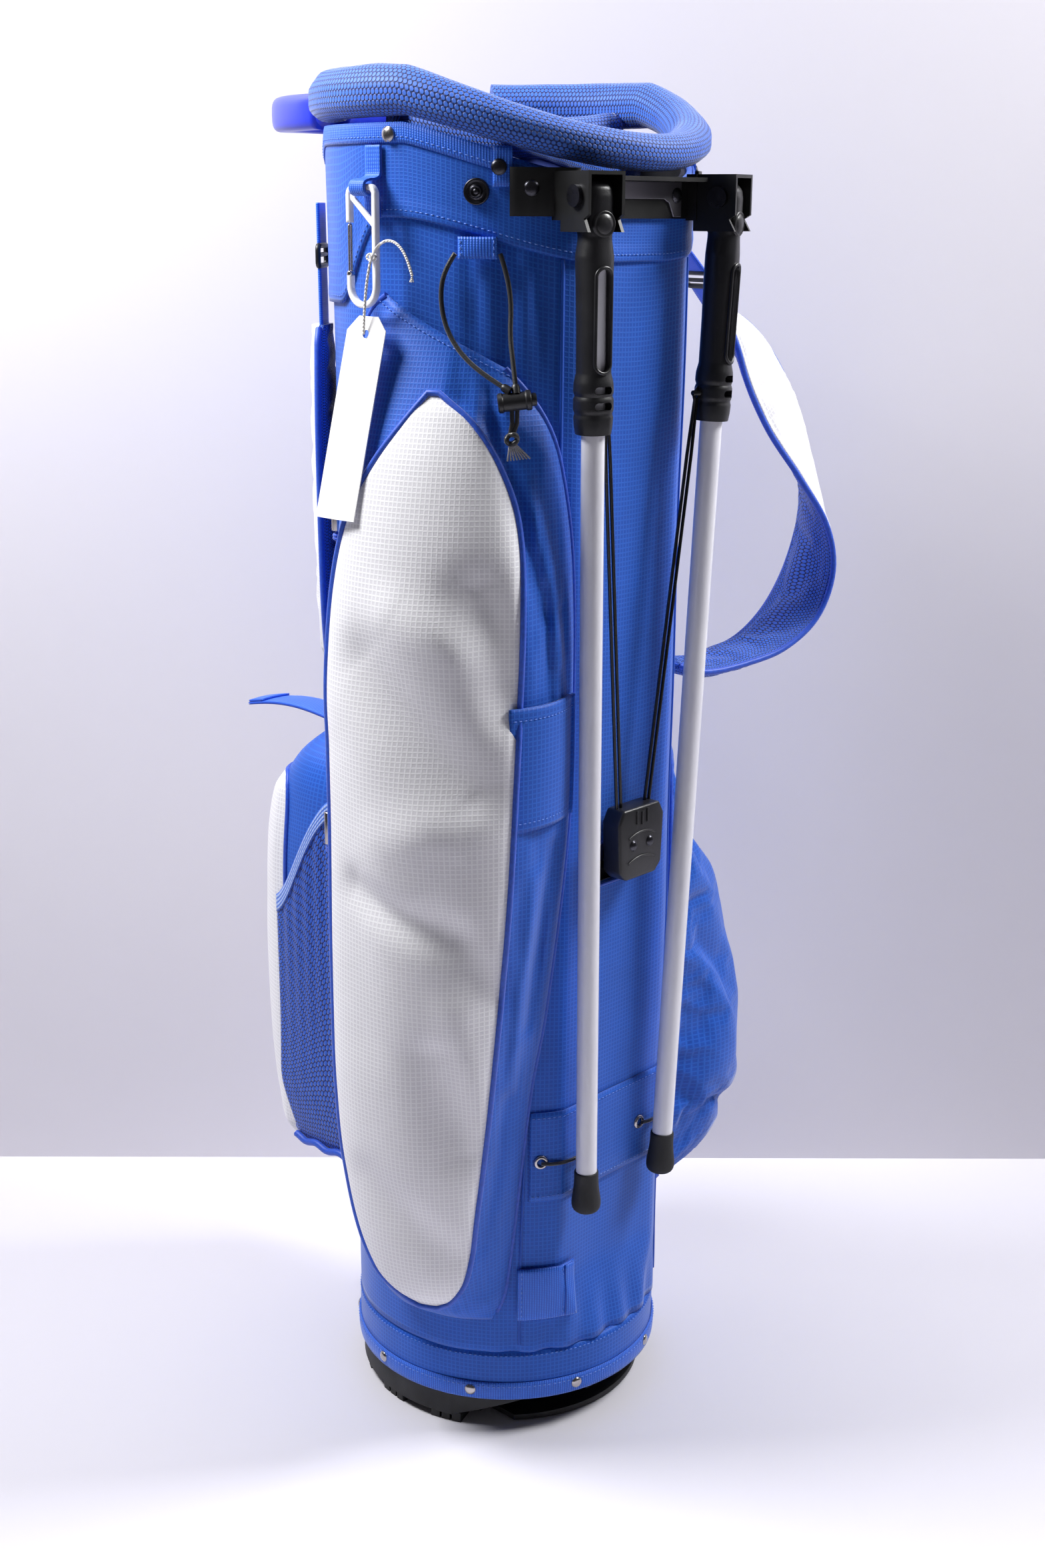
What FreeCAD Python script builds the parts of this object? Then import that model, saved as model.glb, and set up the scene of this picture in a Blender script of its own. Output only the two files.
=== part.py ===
"""Golf stand bag: a fabric club bag with a moulded base, two folding legs and a carry strap.

Units are millimetres, +Z is up.  The origin is the centre of the base on the floor.  The legs are
on the -Y side, the handle and the spine on the +Y side.  A place round the bag is given by its
polar angle: 0 degrees is -Y (the legs), 90 is +X, 180 is +Y (the handle), -90 is -X.
"""
import FreeCAD, Part
import math
import os

V = FreeCAD.Vector
UP = V(0, 0, 1)

# ---- driving dimensions -------------------------------------------------------------------------
BODY_R_LOW = 102.0          # body radius at the floor
BODY_TAPER = 6.0 / 720      # growth of the radius per mm of height
FLAT_LOW = 90.0             # distance of the flat leg panel from the axis, at the floor
FLAT_TAPER = 8.0 / 720      # growth of that distance per mm of height
FLAT_START = 110.0          # below this height the flat panel blends into the round base
FLAT_FADE = 9.3 / 51.4      # how fast it does so, per mm
WALL = 3.0                  # fabric, foam and liner together
SKIN = 1.6                  # one layer of outer fabric with its lining
GAP = 0.3                   # clearance between sewn layers
SHELL_BOTTOM = 58.6
RIM_BACK = 842.0            # height of the collar's middle on the handle side
RIM_DROP = 30.0             # how much lower it is over the legs
RIM_TURN_Y = -20.0          # where the rim starts to fall towards the legs
COLLAR_R = 107.0            # radius of the collar roll's middle line
COLLAR_HALF_W = 12.0
COLLAR_END = 140.0          # the roll stops at the handle block, at this polar angle

LEG_PIVOT = V(58.9, -118.6, 788)    # right leg; the left one is mirrored
LEG_LOW = V(38.5, -106.0, 188)      # the tube's middle where the rubber foot starts
LEG_SWING_DEG = 27.0
SPLAY_DEG = 14.0
TUBE_R = 6.75
TUBE_WALL = 1.0
ROD_R = 1.9
ROD_EYE_DROP = 112.0                # from the leg pivot down the leg
ROD_EYE_SIDE = 13.5                 # from the leg's middle line to the rod's eye
ROD_FOOT = V(11.7, -105.5, 411)     # lower end of the right rod at rest

BAND_LOW, BAND_HIGH = 169.0, 231.0
EYELET_Z = 197.0
EYELET_ANGLES = (16.5, 35.0)
SLOT_LOW, SLOT_HIGH, SLOT_HALF = 376.0, 402.0, 27.0
CLAMP_LOW, CLAMP_HIGH = 381.0, 427.0
PEDAL_HINGE_Y, PEDAL_HINGE_Z = -38.0, 3.5
PUSH_Y = -85.0                      # middle of the push strip inside the bag

POCKET_MID = -68.0                  # polar angle of the apparel pocket
RIVET_STEP = 40.0
STRAP_LOOP_ANGLE = 78.0
STRAP_REST_ANGLE = -141.0

SIDES = (("left", -1), ("right", 1))

os.makedirs("parts", exist_ok=True)


def save(name, *solids):
    """Write one node from its separate solids, after checking each."""
    pieces = [s for shape in solids for s in shape.Solids]
    for piece in pieces:
        if not piece.isValid() or piece.Volume <= 0:
            raise ValueError(name + " holds a broken solid")
    shape = pieces[0] if len(pieces) == 1 else Part.makeCompound(pieces)
    shape.exportStep("parts/" + name + ".step")
    print(name, len(pieces), "solids", round(sum(p.Volume for p in pieces) / 1000, 2), "cm3")


# ---- geometry helpers ---------------------------------------------------------------------------
def polar(angle, r, z):
    a = math.radians(angle)
    return V(r * math.sin(a), -r * math.cos(a), z)


def body_r(z):
    return BODY_R_LOW + BODY_TAPER * z


def flat_y(z):
    return FLAT_LOW + FLAT_TAPER * z + FLAT_FADE * max(0.0, FLAT_START - z)


def surface_r(angle, z, off=0.0):
    """Radius of the body's outer surface, flat over the legs, plus an offset."""
    round_r = body_r(z) + off
    facing = math.cos(math.radians(angle))
    if facing <= 0:
        return round_r
    return min(round_r, (flat_y(z) + off) / facing)


def rim_z(y):
    """Height of the collar's middle line at a given y."""
    fall = max(0.0, RIM_TURN_Y - y) / (COLLAR_R + RIM_TURN_Y)
    return RIM_BACK - RIM_DROP * fall ** 1.2


def box(x0, x1, y0, y1, z0, z1):
    return Part.makeBox(x1 - x0, y1 - y0, z1 - z0, V(x0, y0, z0))


def rod_between(a, b, r):
    return Part.makeCylinder(r, (b - a).Length, a, b - a)


def ring(r0, r1, z0, z1):
    return Part.makeCylinder(r1, z1 - z0, V(0, 0, z0)).cut(Part.makeCylinder(r0, z1 - z0, V(0, 0, z0)))


def d_section(z, off):
    """The body's D-shaped outline at one height: a long arc and the flat of the leg panel."""
    r, y = body_r(z) + off, flat_y(z) + off
    half = math.sqrt(r * r - y * y)
    a, b = V(half, -y, z), V(-half, -y, z)
    arc = Part.Arc(a, V(0, r, z), b).toShape()
    return Part.Wire([arc, Part.LineSegment(b, a).toShape()])


def d_shell(z0, z1, inner, outer):
    """A tapered D-shaped tube between two offsets from the body's surface."""
    if z0 < FLAT_START < z1:
        return d_shell(z0, FLAT_START, inner, outer).fuse(d_shell(FLAT_START, z1, inner, outer))
    out = Part.makeLoft([d_section(z0, outer), d_section(z1, outer)], True, True)
    return out.cut(Part.makeLoft([d_section(z0, inner), d_section(z1, inner)], True, True))


def yz_prism(points, half=320.0):
    """A block across the bag whose outline is given in y and z."""
    wire = Part.makePolygon([V(-half, y, z) for y, z in points] + [V(-half, *points[0])])
    return Part.Face(wire).extrude(V(2 * half, 0, 0))


def below_rim(drop, floor):
    """Everything from floor up to the rim line lowered by drop."""
    ys = [-130, -107, -90, -70, -50, -35, -20, 40, 130]
    return yz_prism([(y, rim_z(max(y, -COLLAR_R)) - drop) for y in ys] + [(130, floor), (-130, floor)])


def sector(a0, a1, r, z0, z1):
    """A wedge between two polar angles, for trimming rings."""
    steps = max(2, int(abs(a1 - a0) / 20) + 1)
    rim = [polar(a0 + (a1 - a0) * i / steps, r, z0) for i in range(steps + 1)]
    wire = Part.makePolygon([V(0, 0, z0)] + rim + [V(0, 0, z0)])
    return Part.Face(wire).extrude(V(0, 0, z1 - z0))


def facet_solid(loops, crescent=False):
    """A solid skinned with flat facets through rings of points that have the same count.

    The two ends are closed by a fan, or on a crescent by a strip between its outer and inner edge.
    """
    n, faces = len(loops[0]), []

    def tri(a, b, c):
        if (b - a).cross(c - a).Length > 1e-6:
            faces.append(Part.Face(Part.makePolygon([a, b, c, a])))

    for low, high in zip(loops, loops[1:]):
        for i in range(n):
            j = (i + 1) % n
            tri(low[i], low[j], high[j])
            tri(low[i], high[j], high[i])
    for loop in (loops[0], loops[-1]):
        if crescent:
            for i in range(n // 2 - 1):
                tri(loop[i], loop[i + 1], loop[n - 1 - i])
                tri(loop[i + 1], loop[n - 2 - i], loop[n - 1 - i])
        else:
            middle = V(0, 0, 0)
            for point in loop:
                middle += point * (1.0 / n)
            for i in range(n):
                tri(middle, loop[i], loop[(i + 1) % n])
    solid = Part.Solid(Part.makeShell(faces))
    if solid.Volume < 0:
        solid.reverse()
    return solid


def oval_loop(mid, side, up, half_side, half_up, n=12):
    turn = [2 * math.pi * i / n for i in range(n)]
    return [mid + side * (half_side * math.cos(t)) + up * (half_up * math.sin(t)) for t in turn]


def strap_solid(points, wides, width, thick):
    """A flat strap along a path; wides gives the direction of its width at each point."""
    loops = []
    for i, p in enumerate(points):
        along = (points[min(i + 1, len(points) - 1)] - points[max(i - 1, 0)]).normalize()
        wide = V(wides[i])
        wide = (wide - along * wide.dot(along)).normalize()
        out = wide.cross(along).normalize()
        w, t = width[i] / 2, thick[i] / 2
        loops.append([p + wide * w + out * t, p - wide * w + out * t,
                      p - wide * w - out * t, p + wide * w - out * t])
    return facet_solid(loops)


def cord_tube(name, points, dia):
    """A round cord of straight runs joined by tangent arcs, as large as the runs allow."""
    edges, start, radii = [], points[0], []
    for before, at, after in zip(points, points[1:], points[2:]):
        u, w = (at - before), (after - at)
        turn = u.getAngle(w)
        reach = 0.45 * min(u.Length, w.Length)
        radii.append(round(reach / math.tan(turn / 2), 1))
        u.normalize()
        w.normalize()
        a, b = at - u * reach, at + w * reach
        bisector = (w - u).normalize()
        radius = reach / math.tan(turn / 2)
        middle = at + bisector * (radius / math.cos(turn / 2) - radius)
        edges += [Part.LineSegment(start, a).toShape(), Part.Arc(a, middle, b).toShape()]
        start = b
    edges.append(Part.LineSegment(start, points[-1]).toShape())
    path = Part.Wire(edges)
    disc = Part.Wire(Part.makeCircle(dia / 2, points[0], points[1] - points[0]))
    tube = path.makePipeShell([disc], True, True)
    expected = math.pi * dia * dia / 4 * path.Length
    print(name, "radii", radii, "length", round(path.Length, 1),
          "volume ratio", round(tube.Volume / expected, 3))
    return tube


def mirrored(shape):
    return shape.mirror(V(0, 0, 0), V(1, 0, 0))


def side_vec(v, sign):
    return V(v.x * sign, v.y, v.z)


# ---- leg linkage --------------------------------------------------------------------------------
def swing_axis(sign):
    """Turning a leg by the right-hand rule about this axis moves its foot out and away."""
    s = math.radians(SPLAY_DEG)
    return V(-math.cos(s), -sign * math.sin(s), 0)


def leg_down(sign):
    return (side_vec(LEG_LOW, sign) - side_vec(LEG_PIVOT, sign)).normalize()


def rod_eye(sign):
    on_leg = side_vec(LEG_PIVOT, sign) + leg_down(sign) * ROD_EYE_DROP
    return on_leg + V(-sign * ROD_EYE_SIDE, 2.0, 0)


def linkage(sign):
    """Lift of the actuator and the rod's own turn, from the leg's full swing."""
    pivot, eye, foot = side_vec(LEG_PIVOT, sign), rod_eye(sign), side_vec(ROD_FOOT, sign)
    turn = FreeCAD.Rotation(swing_axis(sign), LEG_SWING_DEG)
    swung = pivot + turn.multVec(eye - pivot)
    length = (foot - eye).Length
    across = (foot - swung)
    flat = math.hypot(across.x, across.y)
    lift = swung.z - math.sqrt(length ** 2 - flat ** 2) - foot.z
    rest_dir = (foot - eye).normalize()
    end_dir = turn.inverted().multVec((foot + UP * lift - swung).normalize())
    axis = rest_dir.cross(end_dir).normalize()
    return {"lift": lift, "axis": axis, "turn_deg": math.degrees(rest_dir.getAngle(end_dir)),
            "eye": eye, "length": length}


LINK = linkage(1)
PUSH_ARM = abs(PUSH_Y - PEDAL_HINGE_Y)
PEDAL_DEG = math.degrees(math.asin(LINK["lift"] / PUSH_ARM))


# ---- base ---------------------------------------------------------------------------------------
CUP_R, CUP_WALL, CUP_FLOOR, CUP_FLOOR_T = 100.8, 3.8, 6.0, 5.0
HEM_LOW, HEM_HIGH, BINDING_HIGH = 24.0, 58.2, 36.0
RIVET_Z = 30.0


def pedal_outline(margin):
    """Plan of the pedal: a chord across the base and an arc inside its edge."""
    disc = Part.makeCylinder(93.0 + margin, 60, V(0, 0, -20))
    return disc.common(box(-64 - margin, 64 + margin, -120, PEDAL_HINGE_Y + 3.5 + margin, -20, 40))


def make_base():
    cup = Part.makeCylinder(CUP_R, 57 - CUP_FLOOR, V(0, 0, CUP_FLOOR))
    hollow_z = CUP_FLOOR + CUP_FLOOR_T
    cup = cup.cut(Part.makeCylinder(CUP_R - CUP_WALL, 60, V(0, 0, hollow_z)))
    rise = math.tan(math.radians(PEDAL_DEG + 0.8))
    edge = -125.0
    wedge = yz_prism([(PEDAL_HINGE_Y, -5), (PEDAL_HINGE_Y, CUP_FLOOR + 0.6),
                      (edge, CUP_FLOOR + 0.6 + rise * (PEDAL_HINGE_Y - edge)), (edge, -5)])
    roof = yz_prism([(PEDAL_HINGE_Y + 6, CUP_FLOOR), (PEDAL_HINGE_Y + 6, hollow_z),
                     (PEDAL_HINGE_Y, hollow_z + 0.6),
                     (edge, hollow_z + 0.6 + rise * (PEDAL_HINGE_Y - edge)),
                     (edge, CUP_FLOOR + 0.6 + rise * (PEDAL_HINGE_Y - edge)), (PEDAL_HINGE_Y, CUP_FLOOR)])
    cup = cup.fuse(roof.common(Part.makeCylinder(CUP_R, 50, V(0, 0, CUP_FLOOR)))).cut(wedge)
    treads = []
    for i in range(9):
        angle = 71 + i * (360 - 142) / 8
        block = box(-11, 11, -99, -76, 0, CUP_FLOOR + 1)
        for groove in (-4.5, 3.0):
            block = block.cut(box(groove, groove + 1.6, -101, -95, -1, CUP_FLOOR + 2))
        block.rotate(V(0, 0, 0), UP, angle)
        treads.append(block.common(Part.makeCylinder(99.2, 20, V(0, 0, -1))))
    treads.append(Part.makeCylinder(28, CUP_FLOOR + 1))
    for s in (-1, 1):
        ear = box(min(s * 65, s * 71), max(s * 65, s * 71), PEDAL_HINGE_Y - 5, PEDAL_HINGE_Y + 5, 0.3, 9)
        treads.append(ear)
    cup = cup.multiFuse(treads).removeSplitter()
    barrel_room = Part.makeCylinder(4.2, 129.4, V(-64.7, PEDAL_HINGE_Y, PEDAL_HINGE_Z), V(1, 0, 0))
    pin_room = Part.makeCylinder(1.52, 160, V(-80, PEDAL_HINGE_Y, PEDAL_HINGE_Z), V(1, 0, 0))
    strip_room = box(-15, 15, PUSH_Y - 3.4, PUSH_Y + 3.4, -1, 40)
    cup = cup.cut(barrel_room).cut(pin_room).cut(strip_room)
    save("base_cup", cup)

    plate = pedal_outline(0).common(box(-64, 64, -100, PEDAL_HINGE_Y - 3, 1.2, 5.0))
    feet = [pedal_outline(-2).common(box(x, x + 10, -96, -60, 0, 1.3)) for x in (-50, -30, -5, 20, 40)]
    barrel = Part.makeCylinder(3.2, 128, V(-64, PEDAL_HINGE_Y, PEDAL_HINGE_Z), V(1, 0, 0))
    neck = box(-60, 60, PEDAL_HINGE_Y - 4, PEDAL_HINGE_Y, 1.2, 5.0)
    pedal = plate.multiFuse(feet + [barrel, neck]).removeSplitter()
    pin_hole = Part.makeCylinder(1.55, 160, V(-80, PEDAL_HINGE_Y, PEDAL_HINGE_Z), V(1, 0, 0))
    save("base_pedal", pedal.cut(pin_hole))
    save("pedal_pin", Part.makeCylinder(1.5, 142, V(-71, PEDAL_HINGE_Y, PEDAL_HINGE_Z), V(1, 0, 0)))

    hem = ring(CUP_R + GAP, CUP_R + GAP + SKIN, HEM_LOW, HEM_HIGH)
    binding = ring(CUP_R + GAP + SKIN, CUP_R + GAP + SKIN + 1.0, HEM_LOW, BINDING_HIGH)
    save("base_hem", hem.fuse(binding).removeSplitter())
    rivets = []
    for i in range(9):
        a = 20 + RIVET_STEP * i
        out = polar(a, 1, 0)
        head_r = CUP_R + GAP + SKIN + 1.2
        rivets.append(Part.makeSphere(4.6, out * (head_r - 2.6) + UP * RIVET_Z)
                      .common(Part.makeCylinder(6, 6, out * head_r + UP * RIVET_Z, out)))
    save("base_rivets", *rivets)


# ---- body and top -------------------------------------------------------------------------------
SHELL_TOP_DROP = 17.0
SNAP_R, SNAP_LENGTH = 3.2, 3.5


def make_body():
    shell = d_shell(SHELL_BOTTOM, 840, -WALL, 0).common(below_rim(SHELL_TOP_DROP, 0))
    slot = box(-SLOT_HALF, SLOT_HALF, -120, -80, SLOT_LOW, SLOT_HIGH)
    save("body_shell", shell.cut(slot))

    back_stays = [rod_between(polar(a, 92, 12), polar(a, 96, 800), 2.0) for a in (-150, 150)]
    front_stays = [rod_between(polar(a, 90.5, 26), polar(a, 98, 770), 2.0) for a in (-52, 52)]
    save("stay_rods", *back_stays, *front_stays)

    half = 1.0
    lateral = box(-93, 93, -half, half, 12, RIM_BACK - 32)
    back = box(-half, half, half + GAP, 93, 12, RIM_BACK - 32)
    front = yz_prism([(-80, 34), (-80, rim_z(-80) - 32), (-half - GAP, RIM_BACK - 34), (-half - GAP, 12),
                      (-34, 12)], half)
    save("divider_panels", lateral, back, front)

    frame_ring = d_shell(740, 840, -WALL - GAP - 3.0, -WALL - GAP)
    save("top_ring", frame_ring.common(below_rim(19, 0)).cut(below_rim(44, 0)))

    up, bar = UP, []
    xs = [V(x, 0, RIM_BACK - 16 - 5 * (1 - (x / 92) ** 2)) for x in (-92, -60, -30, 0, 30, 60, 92)]
    bar.append(facet_solid([oval_loop(p, V(0, 1, 0), up, 8, 11, 10) for p in xs]))
    for sign in (-1, 1):
        ys = [V(0, sign * t, rim_z(sign * t) - 16 - 5 * (1 - (t / 92) ** 2)) for t in (8.6, 30, 60, 92)]
        bar.append(facet_solid([oval_loop(p, V(1, 0, 0), up, 8, 11, 10) for p in ys]))
    save("divider_pads", *bar)

    loops = []
    steps = 40
    for i in range(steps + 1):
        a = -COLLAR_END + 2 * COLLAR_END * i / steps
        mid = polar(a, COLLAR_R, 0)
        side = 1 - max(0.0, math.cos(math.radians(a)))
        tall = 11.5 + 4.0 * side
        loops.append(oval_loop(mid + UP * rim_z(mid.y), polar(a, 1, 0), up, COLLAR_HALF_W, tall, 12))
    save("collar_pad", facet_solid(loops))

    hem_line = [(-140, 751), (-107, 752), (-80, 762), (-52, 766),
                (-11, 775), (10, 768), (39, 726), (140, 722)]
    above_hem = yz_prism(hem_line + [(140, 900), (-140, 900)])
    cuff = d_shell(715, 840, GAP, GAP + SKIN).common(below_rim(19, 0)).common(above_hem)
    save("cuff_cover", cuff)
    edge = d_shell(715, 842, GAP + SKIN + 0.1, GAP + SKIN + 1.3)
    edge = edge.common(below_rim(15.5, 0)).cut(below_rim(26, 0))
    save("cuff_binding", edge.cut(sector(-48, 48, 200, 700, 900)))

    def stud(angle, z, r, height, off):
        out = polar(angle, 1, 0)
        foot = out * (surface_r(angle, z, off)) + UP * z
        return Part.makeCone(r, r * 0.8, height, foot, out)

    off = GAP + SKIN + 1.5
    top_rivets = [stud(a, z, 4.2, 2.0, off) for a, z in ((-84, 820), (-50, 803), (84, 820), (50, 803))]
    for x in (-30, 30):
        top_rivets.append(Part.makeCylinder(3.6, 1.8, V(x, -103.4, 789), V(0, -1, 0)))
    for a in (-41, 41):
        top_rivets.append(Part.makeCylinder(4.2, 1.8, polar(a, 115.1, 792), polar(a, 1, 0)))
    save("top_rivets", *top_rivets)
    rings = []
    for a in (-56.5, 56.5):
        body = stud(a, 790, 7.0, 2.0, GAP + SKIN + 0.2)
        out = polar(a, 1, 0)
        tip = Part.makeCylinder(SNAP_R, SNAP_LENGTH, out * (body_r(790) + GAP + SKIN + 2.1) + UP * 790, out)
        rings.append(body.fuse(tip))
    save("snap_studs", *rings)

    block = ring(96, 119, RIM_BACK - 15, RIM_BACK + 10)
    block = block.common(sector(COLLAR_END + 1, 359 - COLLAR_END, 200, 800, 870))
    outer = Part.makeCylinder(1, 22, V(0, 0, RIM_BACK - 15))
    stretch = FreeCAD.Matrix()
    stretch.scale(60, 88, 1)
    lobe = outer.transformGeometry(stretch)
    stretch = FreeCAD.Matrix()
    stretch.scale(44, 72, 1)
    hole = outer.transformGeometry(stretch)
    lobe = lobe.cut(hole)
    lobe.translate(V(0, 107, 0))
    lobe = lobe.common(box(-80, 80, 108, 220, 800, 870))
    save("lift_handle", block.fuse(lobe).removeSplitter())


# ---- stand --------------------------------------------------------------------------------------
HUB_HALF, CHEEK_T, BOLT_R = 10.2, 2.0, 3.0


def in_hub(shape, sign):
    """Place a shape drawn with x along the pivot, y outwards and z up at a leg's pivot."""
    placed = shape.copy()
    placed.rotate(V(0, 0, 0), UP, 180 + sign * SPLAY_DEG)
    placed.translate(side_vec(LEG_PIVOT, sign))
    return placed


def make_bracket():
    pieces = [box(-46, 46, -103.3, -101.2, 776, 798),
              box(-44, 44, -116, -101.2, 796.6, 799)]
    bolts = []
    for _, sign in SIDES:
        w = HUB_HALF + CHEEK_T
        cheeks = [box(-w, -HUB_HALF, -15.5, 11, -19, 13), box(HUB_HALF, w, -15.5, 11, -19, 13)]
        back = box(-w, w, -15.5, -13.5, -19, 13)
        top = box(-w, w, -15.5, 11, 11, 13)
        hub = cheeks[0].multiFuse([cheeks[1], back, top])
        corner = box(-w - 1, w + 1, 0, 20, -30, -14)
        corner.rotate(V(0, 0, 0), V(1, 0, 0), 30)
        hub = hub.cut(corner).cut(Part.makeCylinder(BOLT_R + 0.02, 40, V(-20, 0, 0), V(1, 0, 0)))
        pieces.append(in_hub(hub, sign))
        ear = ring(113.0, 115.0, 777, 803).common(sector(sign * 27, sign * 47, 200, 700, 900))
        pieces.append(ear)
        inner_web = box(w - 8, w + 1, -20, -13.5, -13, 13)
        outer_web = box(-w, -w + 3, -24, -13.5, -13, 13)
        if sign < 0:
            inner_web, outer_web = mirrored(inner_web), mirrored(outer_web)
        pieces += [in_hub(inner_web, sign), in_hub(outer_web, sign)]
        shank = Part.makeCylinder(BOLT_R, 2 * w + 2, V(-w - 1, 0, 0), V(1, 0, 0))
        heads = [Part.makeCylinder(6, 2.4, V(x, 0, 0), V(1, 0, 0)) for x in (-w - 2.5, w + 0.1)]
        bolts.append(in_hub(shank.multiFuse(heads), sign))
    bracket = pieces[0].multiFuse(pieces[1:]).removeSplitter()
    save("stand_bracket", bracket)
    save("pivot_bolts", *bolts)


def make_leg(name, sign):
    pivot, down = side_vec(LEG_PIVOT, sign), leg_down(sign)
    axis = swing_axis(sign)
    across = (axis - down * axis.dot(down)).normalize()
    out = across.cross(down).normalize()
    if out.y > 0:
        out = out * -1

    sizes = [(0, 8.8, 9.3), (12, 9.1, 9.3), (23, 9.0, 9.3), (32, 10.6, 9.6), (46, 9.4, 9.6),
             (100, 9.2, 9.6), (104, 10.4, 10.6),
             (118, 10.4, 10.6), (129, 9.6, 9.8)]
    loops = [oval_loop(pivot + down * s, across, out, w, t, 20) for s, w, t in sizes]
    knuckle = rod_between(pivot - axis * 8.8, pivot + axis * 8.8, 9.6)
    head = facet_solid(loops).fuse(knuckle)
    head = head.cut(rod_between(pivot - axis * 20, pivot + axis * 20, BOLT_R + 0.06))
    tube_top, tube_end = pivot + down * 30, side_vec(LEG_LOW, sign)
    head = head.cut(rod_between(tube_top, pivot + down * 140, TUBE_R + 0.05))
    for s0, s1, half in ((40, 92, 4.4), (106, 110.5, 6.0), (114.5, 119, 6.0)):
        a, b = pivot + down * (s0 + half) + out * 3, pivot + down * (s1 - half) + out * 3
        if s1 - s0 > 2 * half:
            window = rod_between(a, b, half)
            prism = [Part.makeCylinder(half, 14, p, out) for p in (a, b)]
            slab = facet_solid([[p + across * half, p + across * half + out * 12,
                                 p - across * half + out * 12, p - across * half] for p in (a, b)])
            head = head.cut(slab).cut(prism[0]).cut(prism[1]).cut(window)
        else:
            p = pivot + down * ((s0 + s1) / 2) + out * 4
            q = (s1 - s0) / 2
            slab = facet_solid([[p + across * half + down * k, p + across * half + down * k + out * 12,
                                 p - across * half + down * k + out * 12, p - across * half + down * k]
                                for k in (-q, q)])
            head = head.cut(slab)
    link = linkage(sign)
    eye, pin_axis = link["eye"], link["axis"]
    inward = pin_axis if pin_axis.x * sign < 0 else pin_axis * -1
    pin = rod_between(eye - inward * 7.5, eye + inward * 3.4, 1.5)
    root = rod_between(eye - inward * 7.5, eye - inward * 3.0, 3.4)
    head = head.multiFuse([pin, root]).cut(rod_between(tube_top, pivot + down * 140, TUBE_R + 0.05))
    save("leg_head_" + name, head)

    tube = rod_between(tube_top + down * 0.5, tube_end + down * 14, TUBE_R)
    tube = tube.cut(rod_between(tube_top, tube_end + down * 20, TUBE_R - TUBE_WALL))
    save("leg_tube_" + name, tube)

    foot_sizes = [(-2, 7.9), (4, 8.3), (14, 8.6), (22, 9.4), (25.5, 8.6), (27, 6.0)]
    foot = facet_solid([oval_loop(tube_end + down * s, across, out, r, r, 20) for s, r in foot_sizes])
    foot = foot.cut(rod_between(tube_end - down * 3, tube_end + down * 14.2, TUBE_R + 0.03))
    save("leg_foot_" + name, foot)

    lower = side_vec(ROD_FOOT, sign)
    along = (lower - eye).normalize()
    shaft = rod_between(eye + along * 2.6, lower, ROD_R)
    eyelet = rod_between(eye - pin_axis * 2.2, eye + pin_axis * 2.2, 3.8)
    tip = rod_between(lower - along * 3, lower, 2.6)
    rod = shaft.multiFuse([eyelet, tip]).cut(rod_between(eye - pin_axis * 9, eye + pin_axis * 9, 1.56))
    save("rod_" + name, rod)


def make_actuator():
    front, back = -114.0, -99.2
    outline = [V(-20, 0, CLAMP_LOW + 6), V(-14, 0, CLAMP_LOW), V(14, 0, CLAMP_LOW), V(20, 0, CLAMP_LOW + 6),
               V(21.5, 0, CLAMP_HIGH - 8), V(17, 0, CLAMP_HIGH), V(-17, 0, CLAMP_HIGH),
               V(-21.5, 0, CLAMP_HIGH - 8)]
    outline = [p + V(0, back, 0) for p in outline]
    clamp = Part.Face(Part.makePolygon(outline + [outline[0]])).extrude(V(0, front - back, 0))
    chamber = box(-18.2, 18.2, -111.6, -101.6, CLAMP_LOW + 12, CLAMP_HIGH + 2)
    relief = box(-19, 19, -116, -99, CLAMP_HIGH - 3, CLAMP_HIGH + 5)
    cavity = chamber.cut(box(-1.2, 1.2, -112, -101, CLAMP_LOW, CLAMP_HIGH))
    clamp = clamp.cut(cavity).cut(relief.common(box(-19, 19, -111.6, -101.6, 300, 500)))
    for x in (-8, 8):
        clamp = clamp.fuse(Part.makeCylinder(3.4, 1.7, V(x, front, CLAMP_LOW + 22), V(0, -1, 0)))
    save("actuator_clamp", clamp)
    strip = box(-12, 12, PUSH_Y - 1.2, PUSH_Y + 1.2, 8.4, 385)
    tongue = box(-12, 12, -98.9, PUSH_Y + 1.2, 382, 385)
    riser = box(-12, 12, -98.9, -96.6, 382, 408)
    save("push_strip", strip.multiFuse([tongue, riser]).removeSplitter())


def make_leg_band():
    layer = d_shell(BAND_LOW, BAND_HIGH, GAP, GAP + 1.4)
    save("leg_band", layer.common(sector(-39, 39, 200, BAND_LOW - 5, BAND_HIGH + 5)))
    eyelets = []
    for _, sign in SIDES:
        for a in EYELET_ANGLES:
            flat = abs(a) < 27
            out = V(0, -1, 0) if flat else polar(sign * a, 1, 0)
            foot = polar(sign * a, surface_r(a, EYELET_Z, GAP + 1.5), EYELET_Z)
            disc = Part.makeCylinder(5.0, 1.0, foot, out).cut(Part.makeCylinder(2.3, 4, foot - out, out))
            eyelets.append(disc)
    save("band_eyelets", *eyelets)
    for name, sign in SIDES:
        a, b = EYELET_ANGLES
        ends = [polar(sign * t, surface_r(t, EYELET_Z, GAP + 4.2), EYELET_Z) for t in (a, b)]
        middle = V(sign * 46.5, -98.2, EYELET_Z - 3.5)
        save("leg_elastic_" + name, cord_tube("leg_elastic_" + name, [ends[0], middle, ends[1]], 2.4))
    loop = d_shell(84, 121, GAP, GAP + 3.0).common(sector(-43, -21, 200, 80, 125))
    save("cart_strap_loop", loop)


# ---- pockets ------------------------------------------------------------------------------------
def swell(u):
    """Fullness of a soft pocket across its width, 1 in the middle and 0 at the seams."""
    return (1 - min(1.0, abs(u)) ** 2.2) ** 0.9


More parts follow.
